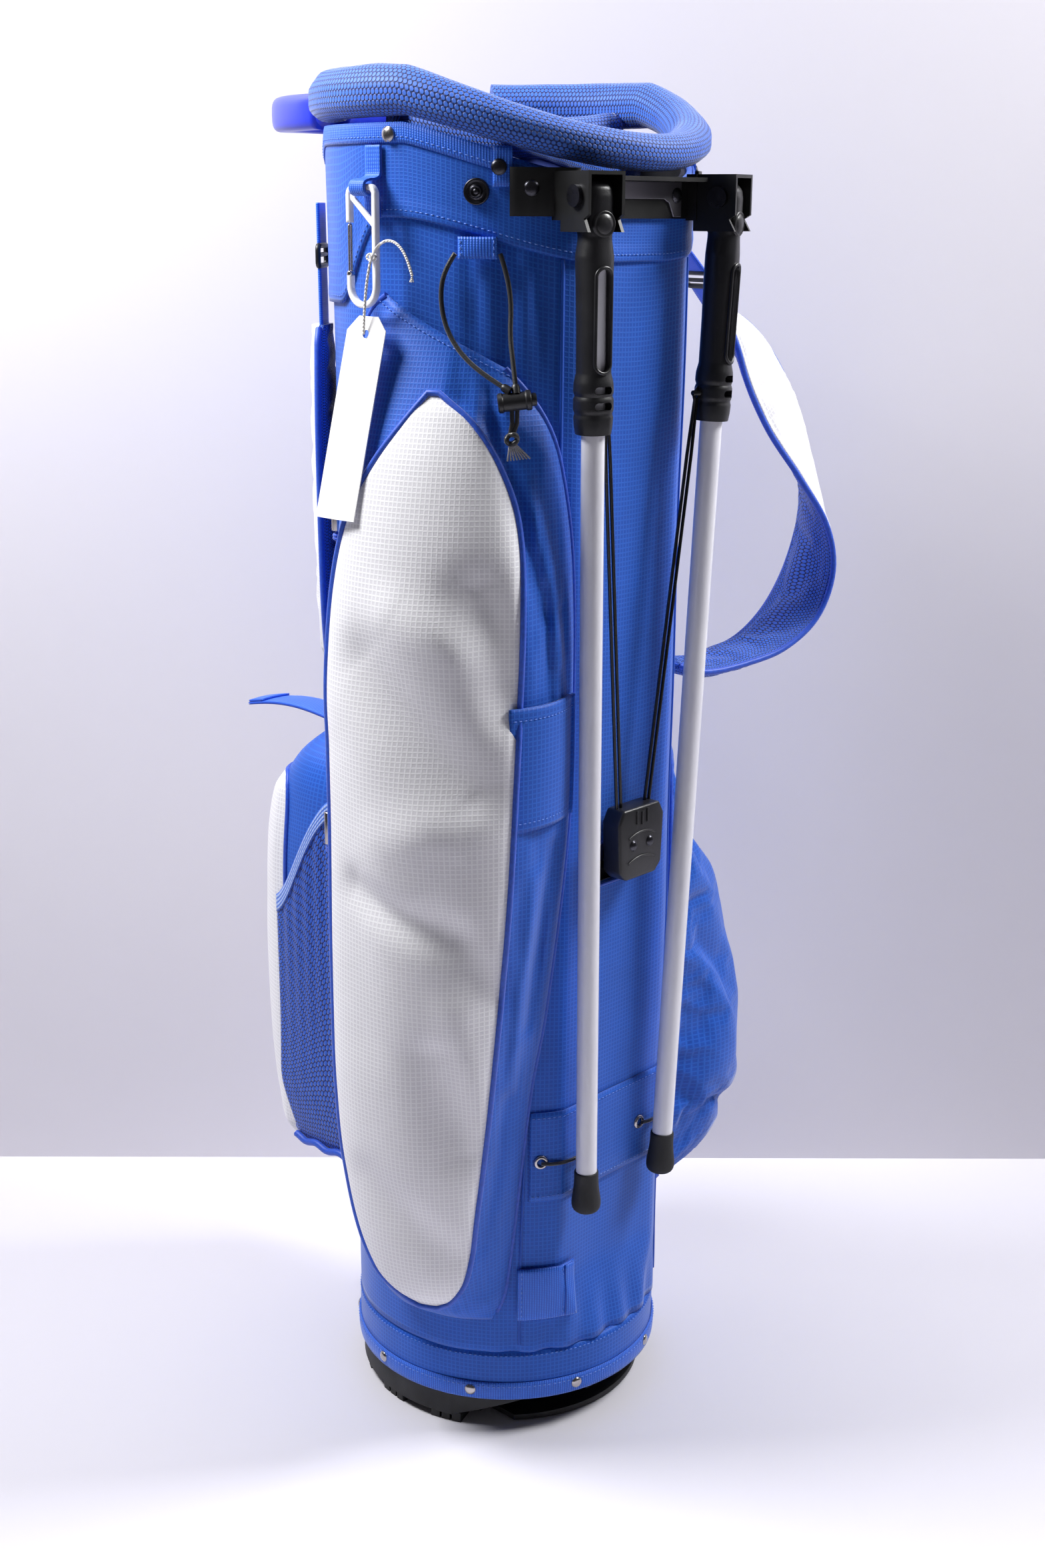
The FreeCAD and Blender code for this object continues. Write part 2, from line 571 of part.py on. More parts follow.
def pocket(levels, off=0.9, n=16):
    """A soft pocket on the body: levels give height, two edges and depth."""
    loops = []
    for z, left, right, depth in levels:
        t = [-1 + 2 * i / n for i in range(n + 1)]
        angle = [(left + right) / 2 + (right - left) / 2 * u for u in t]
        outer = [polar(a, surface_r(a, z, off) + 0.8 + depth * swell(u), z) for a, u in zip(angle, t)]
        inner = [polar(a, surface_r(a, z, off), z) for a in reversed(angle)]
        loops.append(outer + inner)
    return facet_solid(loops, crescent=True)


# height, left and right edge as polar angles, depth
APPAREL = [(84, -84, -52, 3), (100, -94, -48, 24), (130, -102, -45.5, 38), (200, -108, -41.5, 48),
           (250, -109, -38.5, 52), (300, -109.5, -34, 54), (420, -109.5, -27, 56), (520, -109.5, -26, 54),
           (590, -107, -27, 46), (640, -104, -30, 34), (676, -100, -34, 20), (702, -94, -41, 8),
           (714, -87, -48, 2)]
SIDE_POCKET = [(122, 54, 90, 3), (134, 46, 98, 34), (160, 42, 102, 62), (200, 40.5, 103.5, 73),
               (250, 39.5, 104.5, 69),
               (320, 40, 104, 50), (380, 44, 100, 29), (430, 50, 94, 11), (452, 57, 87, 2)]


def level_at(levels, z):
    """The left edge, right edge and depth of a pocket at any height."""
    for low, high in zip(levels, levels[1:]):
        if low[0] <= z <= high[0]:
            t = (z - low[0]) / (high[0] - low[0])
            return [a + (b - a) * t for a, b in zip(low[1:], high[1:])]
    return [POCKET_MID, POCKET_MID, 0.0]


def make_pockets():
    save("apparel_pocket", pocket(APPAREL))
    loops = []
    for z, left, right in ((112, -74, -62), (130, -85, -57), (200, -92, -53), (300, -94, -49),
                           (420, -94.5, -45),
                           (540, -94, -44), (610, -91, -48), (655, -83, -56), (676, -75, -63)):
        angles = [left + (right - left) * i / 16 for i in range(17)]
        pocket_left, pocket_right, depth = level_at(APPAREL, z)

        def skin_r(a, lift):
            u = (2 * a - pocket_left - pocket_right) / (pocket_right - pocket_left)
            return surface_r(a, z, 0.9) + 0.8 + depth * swell(u) + lift

        outer = [polar(a, skin_r(a, 4.4), z) for a in angles]
        inner = [polar(a, skin_r(a, 2.8), z) for a in reversed(angles)]
        loops.append(outer + inner)
    save("apparel_panel", facet_solid(loops, crescent=True))

    save("side_pocket", pocket(SIDE_POCKET))

    side, low, high = 80.0, 128.0, 446.0
    levels = [(low, 0.55, 118), (140, 0.86, 146), (165, 1.0, 160), (240, 1.0, 170), (330, 1.0, 170),
              (390, 0.98, 162),
              (425, 0.9, 142), (high, 0.6, 118)]
    loops = []
    for z, wide, reach in levels:
        corner, w = 18.0, side * wide
        front = [V(w, reach - corner, z), V(w - corner * 0.3, reach - corner * 0.3, z),
                 V(w - corner, reach, z),
                 V(0, reach + 4, z),
                 V(-w + corner, reach, z), V(-w + corner * 0.3, reach - corner * 0.3, z),
                 V(-w, reach - corner, z)]
        r = body_r(z) + 1.7
        edge = math.degrees(math.asin(min(w / r, 0.96)))
        back = [polar(180 + edge * (1 - i / 9), r, z) for i in range(19)]
        split = [p + (q - p) * (k / 3) for p, q in zip(front, front[1:]) for k in range(3)]
        loops.append(split + [front[-1]] + back)
    save("ball_pocket", facet_solid(loops, crescent=True))
    face = []
    for z, wide, reach in ((150, 40, 158.5), (200, 54, 172), (280, 58, 177), (360, 56, 173), (405, 44, 163)):
        pts = [V(x, reach + 3.2 - 4 * (x / 60) ** 2, z) for x in (wide, wide / 2, 0, -wide / 2, -wide)]
        face.append(pts + [p - V(0, 1.6, 0) for p in reversed(pts)])
    save("ball_panel", facet_solid(face, crescent=True))
    mesh = []
    for z, y1 in ((150, 138), (200, 146), (300, 148), (365, 146)):
        y0 = 84
        mesh.append([V(-81.0, y0, z), V(-84.5, y0, z), V(-86, (y0 + y1) / 2, z),
                     V(-84.5, y1, z), V(-81.0, y1, z)])
    save("mesh_pocket", facet_solid(mesh))
    save("towel_tab", box(-52, -27, 110, 202, 449, 451))


def make_zips():
    tapes = [d_shell(100, 690, 0.5, 2.0).common(sector(-113.5, -110.5, 200, 150, 690)),
             d_shell(100, 460, 0.5, 2.0).common(sector(106.5, 109.5, 200, 150, 440)),
             box(-82.6, -81.4, 74, 80, 160, 440)]
    tapes = [t.common(box(-200, 200, -200, 200, 150, 690)) for t in tapes]
    save("zip_tapes", *tapes)

    def slider(at, out, z):
        body = Part.makeBox(9, 3.4, 12, V(-4.5, 0, -6))
        body.rotate(V(0, 0, 0), UP, math.degrees(math.atan2(out.x, -out.y)) + 180)
        body.translate(V(at.x, at.y, z))
        return body

    apparel_at, apparel_out = polar(-112, body_r(650) + 2.4, 650), polar(-112, 1, 0)
    save("apparel_zip_slider", slider(apparel_at, apparel_out, 650))
    start = apparel_at + apparel_out * 5.2
    pts = [start + V(0, 0, -4.5), start + V(-0.4, 0.4, -22),
           start + V(0.6, -0.4, -42), start + V(-0.2, 0.2, -64)]
    save("apparel_zip_cord", cord_tube("apparel_zip_cord", pts, 2.5))
    side_at, side_out = polar(108, body_r(400) + 2.4, 400), polar(108, 1, 0)
    save("side_zip_slider", slider(side_at, side_out, 400))
    ball_at, ball_out = V(-83.0, 77, 0), V(-1, 0, 0)
    save("ball_zip_slider", slider(ball_at, ball_out, 428))
    start = V(-88.3, 77, 428)
    pts = [start + V(0, 0, -4.5), start + V(-0.6, 0.3, -20),
           start + V(0.5, -0.3, -36), start + V(-0.3, 0.2, -54)]
    save("ball_zip_cord", cord_tube("ball_zip_cord", pts, 2.5))


# ---- straps and small things --------------------------------------------------------------------
def make_straps():
    def loop_point(r, z):
        return polar(STRAP_LOOP_ANGLE, r, z)

    tangent = polar(STRAP_LOOP_ANGLE + 90, 1, 0)
    pad = [(170, 716), (196, 690), (222, 655), (246, 618), (262, 578), (262, 540), (246, 508), (218, 488),
           (184, 480),
           (152, 478), (130, 484)]
    widths = [34, 50, 56, 58, 58, 56, 52, 48, 42, 38, 34]
    points = [loop_point(r, z) for r, z in pad]
    wides = []
    for i, degrees in enumerate((30, 55, 60, 48, 28, 10, 0, 0, 0, 0, 0)):
        along = (points[min(i + 1, 10)] - points[max(i - 1, 0)]).normalize()
        twist = math.radians(degrees)
        wides.append(tangent * math.cos(twist) + along.cross(tangent) * math.sin(twist))
    save("shoulder_strap_right", strap_solid(points, wides, widths, [10] * len(points)))
    rest = polar(STRAP_REST_ANGLE, 1, 0)
    tangent_left = polar(STRAP_REST_ANGLE + 90, 1, 0)
    points = [rest * (body_r(z) + 8.5) + UP * z for z in (712, 660, 600, 540, 505)]
    save("shoulder_strap_left", strap_solid(points, [tangent_left] * 5, [36, 52, 56, 52, 36], [10] * 5))

    webs = [strap_solid([loop_point(117.5, 775), loop_point(124, 764),
                         loop_point(136, 752), loop_point(143, 745)],
                        [tangent] * 4, [25] * 4, [2.2] * 4),
            strap_solid([loop_point(157, 730), loop_point(164, 722.5)], [tangent] * 2, [25] * 2, [2.2] * 2),
            strap_solid([loop_point(110.5, 497), loop_point(121, 489)], [tangent] * 2, [25] * 2, [2.2] * 2)]
    for z0, z1 in ((784, 762), (744, 716), (500, 482)):
        ends = [rest * (body_r(z) + 7.4) + UP * z for z in (z0, z1)]
        webs.append(strap_solid(ends, [tangent_left] * 2, [25] * 2, [2.2] * 2))
    save("strap_webbing", *webs)

    rings = []
    for mid, along in ((loop_point(150, 737.5), (loop_point(157, 730) - loop_point(143, 745)).normalize()),
                       (rest * (body_r(753) + 7.4) + UP * 753, UP)):
        side_dir = tangent if along.z != 1 else tangent_left
        normal = side_dir.cross(along).normalize()
        outer = facet_solid([[mid + side_dir * (sx * 17) + along * (sz * 7.5) + normal * k
                              for sx, sz in ((1, 1), (-1, 1), (-1, -1), (1, -1))] for k in (-1.6, 1.6)])
        inner = facet_solid([[mid + side_dir * (sx * 13.5) + along * (sz * 4.5) + normal * k
                              for sx, sz in ((1, 1), (-1, 1), (-1, -1), (1, -1))] for k in (-3, 3)])
        rings.append(outer.cut(inner))
    save("strap_buckles", *rings)


CLIP_ANGLE = -90.0
TAG_LEAN_DEG = 14.5           # the tag leans on the swell of the pocket below it


def make_clip_and_tag():
    """Carabiner in the plane tangent to the bag, hanging in a webbing loop, with a tag below it."""
    mid_r = body_r(780) + 13.0

    def flat_shape(shape):
        """Turn a shape drawn in x (round the bag), y (outwards) and z into its place."""
        placed = shape.copy()
        placed.rotate(V(0, 0, 0), UP, CLIP_ANGLE + 180)
        placed.translate(polar(CLIP_ANGLE, mid_r, 0))
        return placed

    eye_z = 792.2
    bend = Part.makeCylinder(4.9, 12.4, V(-6.2, 0, eye_z), V(1, 0, 0))
    loop = bend.fuse(box(-6.2, 6.2, -9.8, -1.5, 796, 797.2)).fuse(box(-6.2, 6.2, -9.8, -7.6, 776, 815))
    loop = loop.cut(Part.makeCylinder(3.4, 14, V(-7, 0, eye_z), V(1, 0, 0)))
    save("carabiner_loop", flat_shape(loop.removeSplitter()))

    def hook_wire(half_w, corner, low, high):
        """A U with a round foot and a nearly square top."""
        r, c = half_w, corner
        mid = c * (1 - math.sqrt(0.5))
        a = [V(-r, 0, low + r), V(0, 0, low), V(r, 0, low + r), V(r, 0, high - c), V(r - mid, 0, high - mid),
             V(r - c, 0, high), V(c - r, 0, high), V(mid - r, 0, high - mid), V(-r, 0, high - c)]
        return Part.Wire([Part.Arc(a[0], a[1], a[2]).toShape(), Part.LineSegment(a[2], a[3]).toShape(),
                          Part.Arc(a[3], a[4], a[5]).toShape(), Part.LineSegment(a[5], a[6]).toShape(),
                          Part.Arc(a[6], a[7], a[8]).toShape(), Part.LineSegment(a[8], a[0]).toShape()])

    def plate(wire, thick=4.2):
        return Part.Face(wire).extrude(V(0, thick, 0))

    low, high = 726.0, 794.0
    hook = plate(hook_wire(12.4, 6.0, low, high)).cut(plate(hook_wire(8.8, 2.4, low + 3.6, high - 3.6)))
    hook.translate(V(0, -2.1, 0))
    mouth = box(7.5, 14, -4, 4, 745, 773)
    knuckle_room = Part.makeCylinder(2.0, 6, V(10.6, -3, 745), V(0, 1, 0))
    save("carabiner_hook", flat_shape(hook.cut(mouth).cut(knuckle_room)))
    gate = box(9.5, 11.7, -1.3, 1.3, 745, 772.4)
    gate = gate.fuse(Part.makeCylinder(1.7, 4.0, V(10.6, -2, 745), V(0, 1, 0)))
    save("carabiner_gate", flat_shape(gate))

    tag_mid = -6.0
    tag = box(tag_mid - 16, tag_mid + 16, 3.2, 3.9, 606, 722)
    corners = box(-40, 40, 2, 5, 712, 740)
    for s in (-1, 1):
        trim = box(0, 20, 2, 5, 0, 20)
        trim.rotate(V(0, 0, 0), V(0, 1, 0), 45)
        trim.translate(V(tag_mid + s * 16 - 14.14, 0, 722))
        tag = tag.cut(trim.common(corners))
    tag = tag.cut(Part.makeCylinder(2.4, 6, V(tag_mid, 1, 712), V(0, 1, 0)))
    tag.rotate(V(tag_mid, 3.5, 716), V(1, 0, 0), TAG_LEAN_DEG)
    save("hang_tag", flat_shape(tag))
    string = [V(-6.0, 6.4, 712), V(-7.0, 6.2, 728), V(-9.5, 6.0, 744), V(-13.5, 5.6, 757), V(-22, 4.6, 764),
              V(-31, 3.6, 763), V(-38.5, 2.6, 755), V(-42, 2.4, 745)]
    turned = FreeCAD.Rotation(UP, CLIP_ANGLE + 180)
    placed = [polar(CLIP_ANGLE, mid_r, 0) + turned.multVec(p) for p in string]
    save("tag_string", cord_tube("tag_string", placed, 1.6))


def make_cinch():
    z_tab = 760
    tab = d_shell(740, 780, GAP + SKIN + 0.4, GAP + SKIN + 4.8)
    tab = tab.common(sector(-61.5, -50.5, 200, 700, 800))
    tab = tab.common(box(-200, 200, -200, 200, z_tab - 6, z_tab + 6))
    save("cinch_tab", tab)
    lock = polar(-45.6, body_r(678) + 24.5, 678)
    side_dir = polar(44.4, 1, 0)
    axis = (side_dir * 1.0 + UP * 0.12).normalize()
    barrel = rod_between(lock - axis * 9.5, lock + axis * 9.5, 5.8)
    save("cord_lock_body", barrel.cut(rod_between(lock - axis * 3.8, lock + axis * 10, 3.9)))
    save("cord_lock_button", rod_between(lock + axis * 3.8, lock + axis * 12.5, 3.8))

    def at(angle, off, z):
        return polar(angle, body_r(z) + off, z)

    left = [at(-62.4, 5.5, 757), at(-65.5, 6.8, 748), at(-66.5, 8.2, 733), at(-64.5, 10.2, 716),
            at(-59.5, 14.4, 702), at(-53, 20, 691.5), at(-47.6, 24.5, 684.8)]
    right = [at(-49.6, 5.5, 757), at(-47.8, 6.8, 747), at(-46.4, 9, 731), at(-46.8, 13.2, 713),
             at(-45.9, 19.4, 697), at(-45.3, 24.5, 684.6)]
    save("cinch_cord_left", cord_tube("cinch_cord_left", left, 2.8))
    save("cinch_cord_right", cord_tube("cinch_cord_right", right, 2.8))


make_base()
make_body()
make_bracket()
for leg_name, leg_sign in SIDES:
    make_leg(leg_name, leg_sign)
make_actuator()
make_leg_band()
make_pockets()
make_zips()
make_straps()
make_clip_and_tag()
make_cinch()
print("lift", round(LINK["lift"], 2), "rod turn", round(LINK["turn_deg"], 3), "pedal", round(PEDAL_DEG, 2))
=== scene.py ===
"""Golf stand bag: blue ripstop cloth over a stiff tube, on a moulded foot, with two folding legs.

Metres, +Z up, the origin under the middle of the foot.  The legs are on the -Y side and the lift
handle on the +Y side.  A turn is a polar angle in degrees: 0 is -Y, 90 is +X, -90 is -X.
"""

import math

import bmesh
import bpy
from mathutils import Matrix, Vector, noise


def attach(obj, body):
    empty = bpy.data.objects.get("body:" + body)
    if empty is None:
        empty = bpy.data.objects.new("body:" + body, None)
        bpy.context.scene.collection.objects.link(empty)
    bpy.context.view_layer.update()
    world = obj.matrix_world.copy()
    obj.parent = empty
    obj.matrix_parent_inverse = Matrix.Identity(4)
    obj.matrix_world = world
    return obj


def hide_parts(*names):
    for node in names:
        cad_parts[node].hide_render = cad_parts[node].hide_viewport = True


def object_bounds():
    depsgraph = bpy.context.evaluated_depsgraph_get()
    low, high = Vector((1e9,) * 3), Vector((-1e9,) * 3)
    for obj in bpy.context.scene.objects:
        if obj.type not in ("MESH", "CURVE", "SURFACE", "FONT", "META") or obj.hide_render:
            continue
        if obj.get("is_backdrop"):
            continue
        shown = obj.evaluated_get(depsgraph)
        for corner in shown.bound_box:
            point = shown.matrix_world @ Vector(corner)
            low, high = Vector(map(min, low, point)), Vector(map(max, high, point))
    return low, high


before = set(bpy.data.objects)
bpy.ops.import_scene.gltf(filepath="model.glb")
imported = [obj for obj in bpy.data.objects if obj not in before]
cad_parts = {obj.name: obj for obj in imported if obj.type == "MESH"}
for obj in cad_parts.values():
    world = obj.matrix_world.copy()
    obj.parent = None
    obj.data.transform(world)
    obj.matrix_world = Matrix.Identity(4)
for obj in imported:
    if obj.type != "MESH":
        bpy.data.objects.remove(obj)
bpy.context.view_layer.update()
scene = bpy.context.scene

# ---- camera -------------------------------------------------------------------------------------
# A 45 mm lens on an upright full-frame body, a little above the bag's middle and tilted down,
# on the side of the left leg and the big pocket.
AIM_TURN, CAMERA_AWAY, CAMERA_HEIGHT = -46.8, 1.245, 0.780
TILT_DOWN, PAN_RIGHT, ROLL = 16.2, 0.43, 0.33

lens = bpy.data.cameras.new("camera")
lens.sensor_width = 36.0
lens.lens = 2960 / 2352 * 36.0
lens.clip_start, lens.clip_end = 0.05, 50
camera = bpy.data.objects.new("camera", lens)
scene.collection.objects.link(camera)
heading = math.radians(AIM_TURN)
camera.matrix_world = (
    Matrix.Translation((CAMERA_AWAY * math.sin(heading), -CAMERA_AWAY * math.cos(heading), CAMERA_HEIGHT))
    @ Matrix.Rotation(math.radians(AIM_TURN - PAN_RIGHT), 4, "Z")
    @ Matrix.Rotation(math.radians(90 - TILT_DOWN), 4, "X")
    @ Matrix.Rotation(math.radians(ROLL), 4, "Z"))
scene.camera = camera


# ---- table, wall and light ----------------------------------------------------------------------
# A white table against a pale lavender-grey wall, lit by a softbox high on the left, a second lamp
# on the right, a weak one behind and a very dim sky all round.
def linear(code):
    """An sRGB hex colour as the linear numbers that shaders take."""
    parts = [int(code[i:i + 2], 16) / 255 for i in (1, 3, 5)]
    return tuple(p / 12.92 if p <= 0.04045 else ((p + 0.055) / 1.055) ** 2.4 for p in parts) + (1.0,)


def add_node(tree, kind, links=None, **settings):
    """Adds one node; links gives each of its inputs another node's socket or a plain value."""
    node = tree.nodes.new(kind)
    for key, value in settings.items():
        setattr(node, key, value)
    for socket, value in (links or {}).items():
        if isinstance(value, bpy.types.NodeSocket):
            tree.links.new(value, node.inputs[socket])
        else:
            node.inputs[socket].default_value = value
    return node


def start_finish(name, colour, roughness, **shader):
    """A new material's node tree and its shader, with whatever is the same all over set on it."""
    finish = bpy.data.materials.new(name)
    finish.use_nodes = True
    tree = finish.node_tree
    surface = tree.nodes["Principled BSDF"]
    surface.inputs["Base Color"].default_value = linear(colour)
    surface.inputs["Roughness"].default_value = roughness
    for socket, value in shader.items():
        surface.inputs[socket.replace("_", " ")].default_value = value
    return finish, tree, surface


def mottled(name, colour, roughness, scale, tones=None, bump=None, detail=2.0, cells=False, **shader):
    """A finish with one fine pattern in its colour, its relief or both; cells suit a braid.

    tones are the colours at the pattern's two ends.  bump is the relief's strength, below nothing if
    the pattern sinks in, and its height in metres, then the scale of its own pattern if it has one.
    """
    finish, tree, surface = start_finish(name, colour, roughness, **shader)
    where = add_node(tree, "ShaderNodeTexCoord").outputs["Object"]
    if cells:
        fine = add_node(tree, "ShaderNodeTexVoronoi", {"Vector": where, "Scale": scale}).outputs["Distance"]
    else:
        fine = add_node(tree, "ShaderNodeTexNoise", {"Vector": where, "Scale": scale,
                                                     "Detail": detail}).outputs["Fac"]
    if tones:
        tone = add_node(tree, "ShaderNodeMix", {"Factor": fine, "A": linear(tones[0]), "B": linear(tones[1])},
                        data_type="RGBA")
        tree.links.new(tone.outputs["Result"], surface.inputs["Base Color"])
    if bump:
        strength, height, *own_scale = bump
        if own_scale:
            fine = add_node(tree, "ShaderNodeTexNoise", {"Vector": where, "Scale": own_scale[0]}).outputs["Fac"]
        relief = add_node(tree, "ShaderNodeBump", {"Height": fine, "Strength": abs(strength),
                                                   "Distance": height}, invert=strength < 0)
        tree.links.new(relief.outputs["Normal"], surface.inputs["Normal"])
    return finish


def own_object(name, bm, smooth=True):
    """Turns a finished bmesh into an object at the origin."""
    for face in bm.faces:
        face.smooth = smooth
    mesh = bpy.data.meshes.new(name)
    bm.to_mesh(mesh)
    bm.free()
    piece = bpy.data.objects.new(name, mesh)
    scene.collection.objects.link(piece)
    return piece


WALL_AWAY = 0.291
table_finish, _, _ = start_finish("white table laminate", "#E3E1E8", 0.62)
wall_finish = mottled("lavender grey wall paint", "#E6E3EA", 0.9, 1.4, ("#DFDCE4", "#E9E6EC"))
away = Vector((-math.sin(heading), math.cos(heading), 0))
sideways = Vector((math.cos(heading), math.sin(heading), 0))
for name, finish, corners in (
        ("table", table_finish, [away * a + sideways * s
                                 for a, s in ((-6, -6), (-6, 6), (WALL_AWAY, 6), (WALL_AWAY, -6))]),
        ("wall", wall_finish, [away * WALL_AWAY + sideways * s + Vector((0, 0, z))
                               for s, z in ((-6, 0), (6, 0), (6, 6), (-6, 6))])):
    bm = bmesh.new()
    bm.faces.new([bm.verts.new(c) for c in corners])
    piece = own_object(name, bm, smooth=False)
    piece.data.materials.append(finish)
    piece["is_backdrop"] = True

world = bpy.data.worlds.new("soft sky")
world.use_nodes = True
world.node_tree.nodes["Background"].inputs["Color"].default_value = linear("#ECEAF2")
world.node_tree.nodes["Background"].inputs["Strength"].default_value = 0.07
scene.world = world
scene.view_settings.view_transform = "Standard"
for name, turn, height, distance, size, watts in (
        ("softbox", -127, 1.42, 0.72, 0.40, 20.0),
        ("lamp", 48, 1.55, 1.08, 0.5, 29.0),
        ("back rim", 130, 1.9, 2.2, 1.2, 5.0)):
    light = bpy.data.lights.new(name, "AREA")
    light.size, light.energy = size, watts
    lamp = bpy.data.objects.new(name, light)
    scene.collection.objects.link(lamp)
    a = math.radians(turn)
    lamp.location = (distance * math.sin(a), -distance * math.cos(a), height)
    lamp.rotation_euler = (Vector((0, 0, 0.62)) - lamp.location).to_track_quat("-Z", "Y").to_euler()


# ---- body tube ----------------------------------------------------------------------------------
# The bag's wall: coated polyester ripstop over foam, sewn into a D-shaped tube whose flat side
# lies behind the legs.  Its lower edge is round, to fit over the moulded foot.
def body_radius(z):
    return 0.102 + 0.006 / 0.72 * z


def panel_away(z):
    """How far the flat leg panel stands from the bag's axis."""
    return 0.090 + 0.008 / 0.72 * z + 0.0093 / 0.0514 * max(0.0, 0.110 - z)


def skin_radius(turn, z, off=0.0):
    facing = math.cos(math.radians(turn))
    if facing <= 0:
        return body_radius(z) + off
    return min(body_radius(z) + off, (panel_away(z) + off) / facing)


def on_bag(turn, radius, z):
    a = math.radians(turn)
    return Vector((radius * math.sin(a), -radius * math.cos(a), z))


def rim_height(y):
    """Height of the collar's middle line, lower over the legs."""
    return 0.842 - 0.030 * (max(0.0, -0.020 - y) / 0.087) ** 1.2


def ease(t):
    t = min(1.0, max(0.0, t))
    return t * t * (3 - 2 * t)


def between(value, low, high):
    return ease((value - low) / (high - low))


def drape(name, across, up, size, place, close=False):
    """A cloth piece: a flat grid of its cut size, laid in place by its share across and up.

    Its UV map holds the place on the cut cloth in metres, so the weave follows the surface.
    """
    bm = bmesh.new()
    bmesh.ops.create_grid(bm, x_segments=across, y_segments=up, size=0.5)
    cloth = bm.loops.layers.uv.new("cloth")
    for face in bm.faces:
        for loop in face.loops:
            loop[cloth].uv = ((loop.vert.co.x + 0.5) * size[0], (loop.vert.co.y + 0.5) * size[1])
    for vert in bm.verts:
        vert.co = place(vert.co.x + 0.5, vert.co.y + 0.5)
    if close:
        bmesh.ops.remove_doubles(bm, verts=bm.verts, dist=1e-6)
    return own_object(name, bm)


def sew_on(piece, finish, slot, *stands_for, body="bag"):
    """Gives a finished piece its material and its body, and hides the CAD nodes it stands for; slot is not used."""
    if finish.name not in [m.name for m in piece.data.materials if m]:
        piece.data.materials.append(finish)
    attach(piece, body)
    if stands_for:
        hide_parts(*stands_for)
    return piece


def thicken(piece, thickness, offset=-1.0, inside=0):
    """Gives a sheet its thickness, inwards unless told otherwise."""
    solid = piece.modifiers.new("thickness", "SOLIDIFY")
    solid.thickness, solid.offset = thickness, offset
    solid.use_even_offset = True
    solid.material_offset = inside
    return piece


def ripstop(name, ground, thread, roughness, cell=0.0026, relief=0.25, patchy=0.06):
    """Coated ripstop: a plain weave with a thicker thread every few threads, both ways.

    The real 2 mm squares read as a faint grid, lighter on the raised threads.
    """
    finish, tree, surface = start_finish(name, ground, roughness, Sheen_Weight=0.25, Sheen_Roughness=0.4,
                                         Specular_IOR_Level=0.35)
    cut = add_node(tree, "ShaderNodeUVMap", uv_map="cloth")
    bands = []
    for direction in ("X", "Y"):
        bands.append(add_node(tree, "ShaderNodeTexWave", {"Vector": cut.outputs["UV"], "Scale": 0.314 / cell,
                                                          "Distortion": 0.0},
                              wave_type="BANDS", bands_direction=direction))
    grid = add_node(tree, "ShaderNodeMath", {0: bands[0].outputs["Fac"], 1: bands[1].outputs["Fac"]},
                    operation="MAXIMUM")
    raised = add_node(tree, "ShaderNodeMapRange", {"Value": grid.outputs["Value"], "From Min": 0.62,
                                                   "From Max": 0.98})
    cloudy = add_node(tree, "ShaderNodeTexNoise", {"Vector": cut.outputs["UV"], "Scale": 26.0, "Detail": 3.0})
    worn = add_node(tree, "ShaderNodeMapRange", {"Value": cloudy.outputs["Fac"], "From Min": 0.3, "From Max": 0.7,
                                                 "To Min": 1.0 - patchy, "To Max": 1.0 + patchy})
    weave = add_node(tree, "ShaderNodeMix", {"Factor": raised.outputs["Result"], "A": linear(ground),
                                             "B": linear(thread)}, data_type="RGBA")
    tinted = add_node(tree, "ShaderNodeVectorMath", {0: weave.outputs["Result"], "Scale": worn.outputs["Result"]},
                      operation="SCALE")
    tree.links.new(tinted.outputs["Vector"], surface.inputs["Base Color"])
    relief_node = add_node(tree, "ShaderNodeBump", {"Height": raised.outputs["Result"], "Strength": relief,
                                                    "Distance": 0.0004})
    tree.links.new(relief_node.outputs["Normal"], surface.inputs["Normal"])
    return finish


blue_ripstop = ripstop("royal blue ripstop", "#1450B8", "#2263CA", 0.55, cell=0.0029, relief=0.2)
# Brushed polyester, dull and very slightly fuzzy.
liner_finish = mottled("dark blue lining cloth", "#142E78", 0.85, 900.0, bump=(0.3, 0.0003), Sheen_Weight=0.2)

SHELL_FOOT, WALL = 0.0586, 0.003


def soft_wave(turn, z):
    """The wall's slight unevenness, with pulled gathers below the cuff on the pocket's side."""
    wave = 0.0011 * noise.noise(Vector((turn / 21, z * 9, 3.0)))
    gather = between(z, 0.66, 0.74) * between(turn, -66, -56) * (1 - between(turn, -36, -32))
    wave += gather * 0.0020 * math.sin(math.radians(turn) * 34 + z * 11)
    low = (1 - between(z, 0.062, 0.105)) * (1 - between(abs(turn), 38, 60))
    return wave + low * 0.0014 * math.sin(math.radians(turn) * 26)


def wall_place(u, v):
    turn = -180 + 360 * u
    top = rim_height(-0.107 * math.cos(math.radians(turn))) - 0.017
    z = SHELL_FOOT + (top - SHELL_FOOT) * v
    return on_bag(turn, skin_radius(turn, z, soft_wave(turn, z)), z)


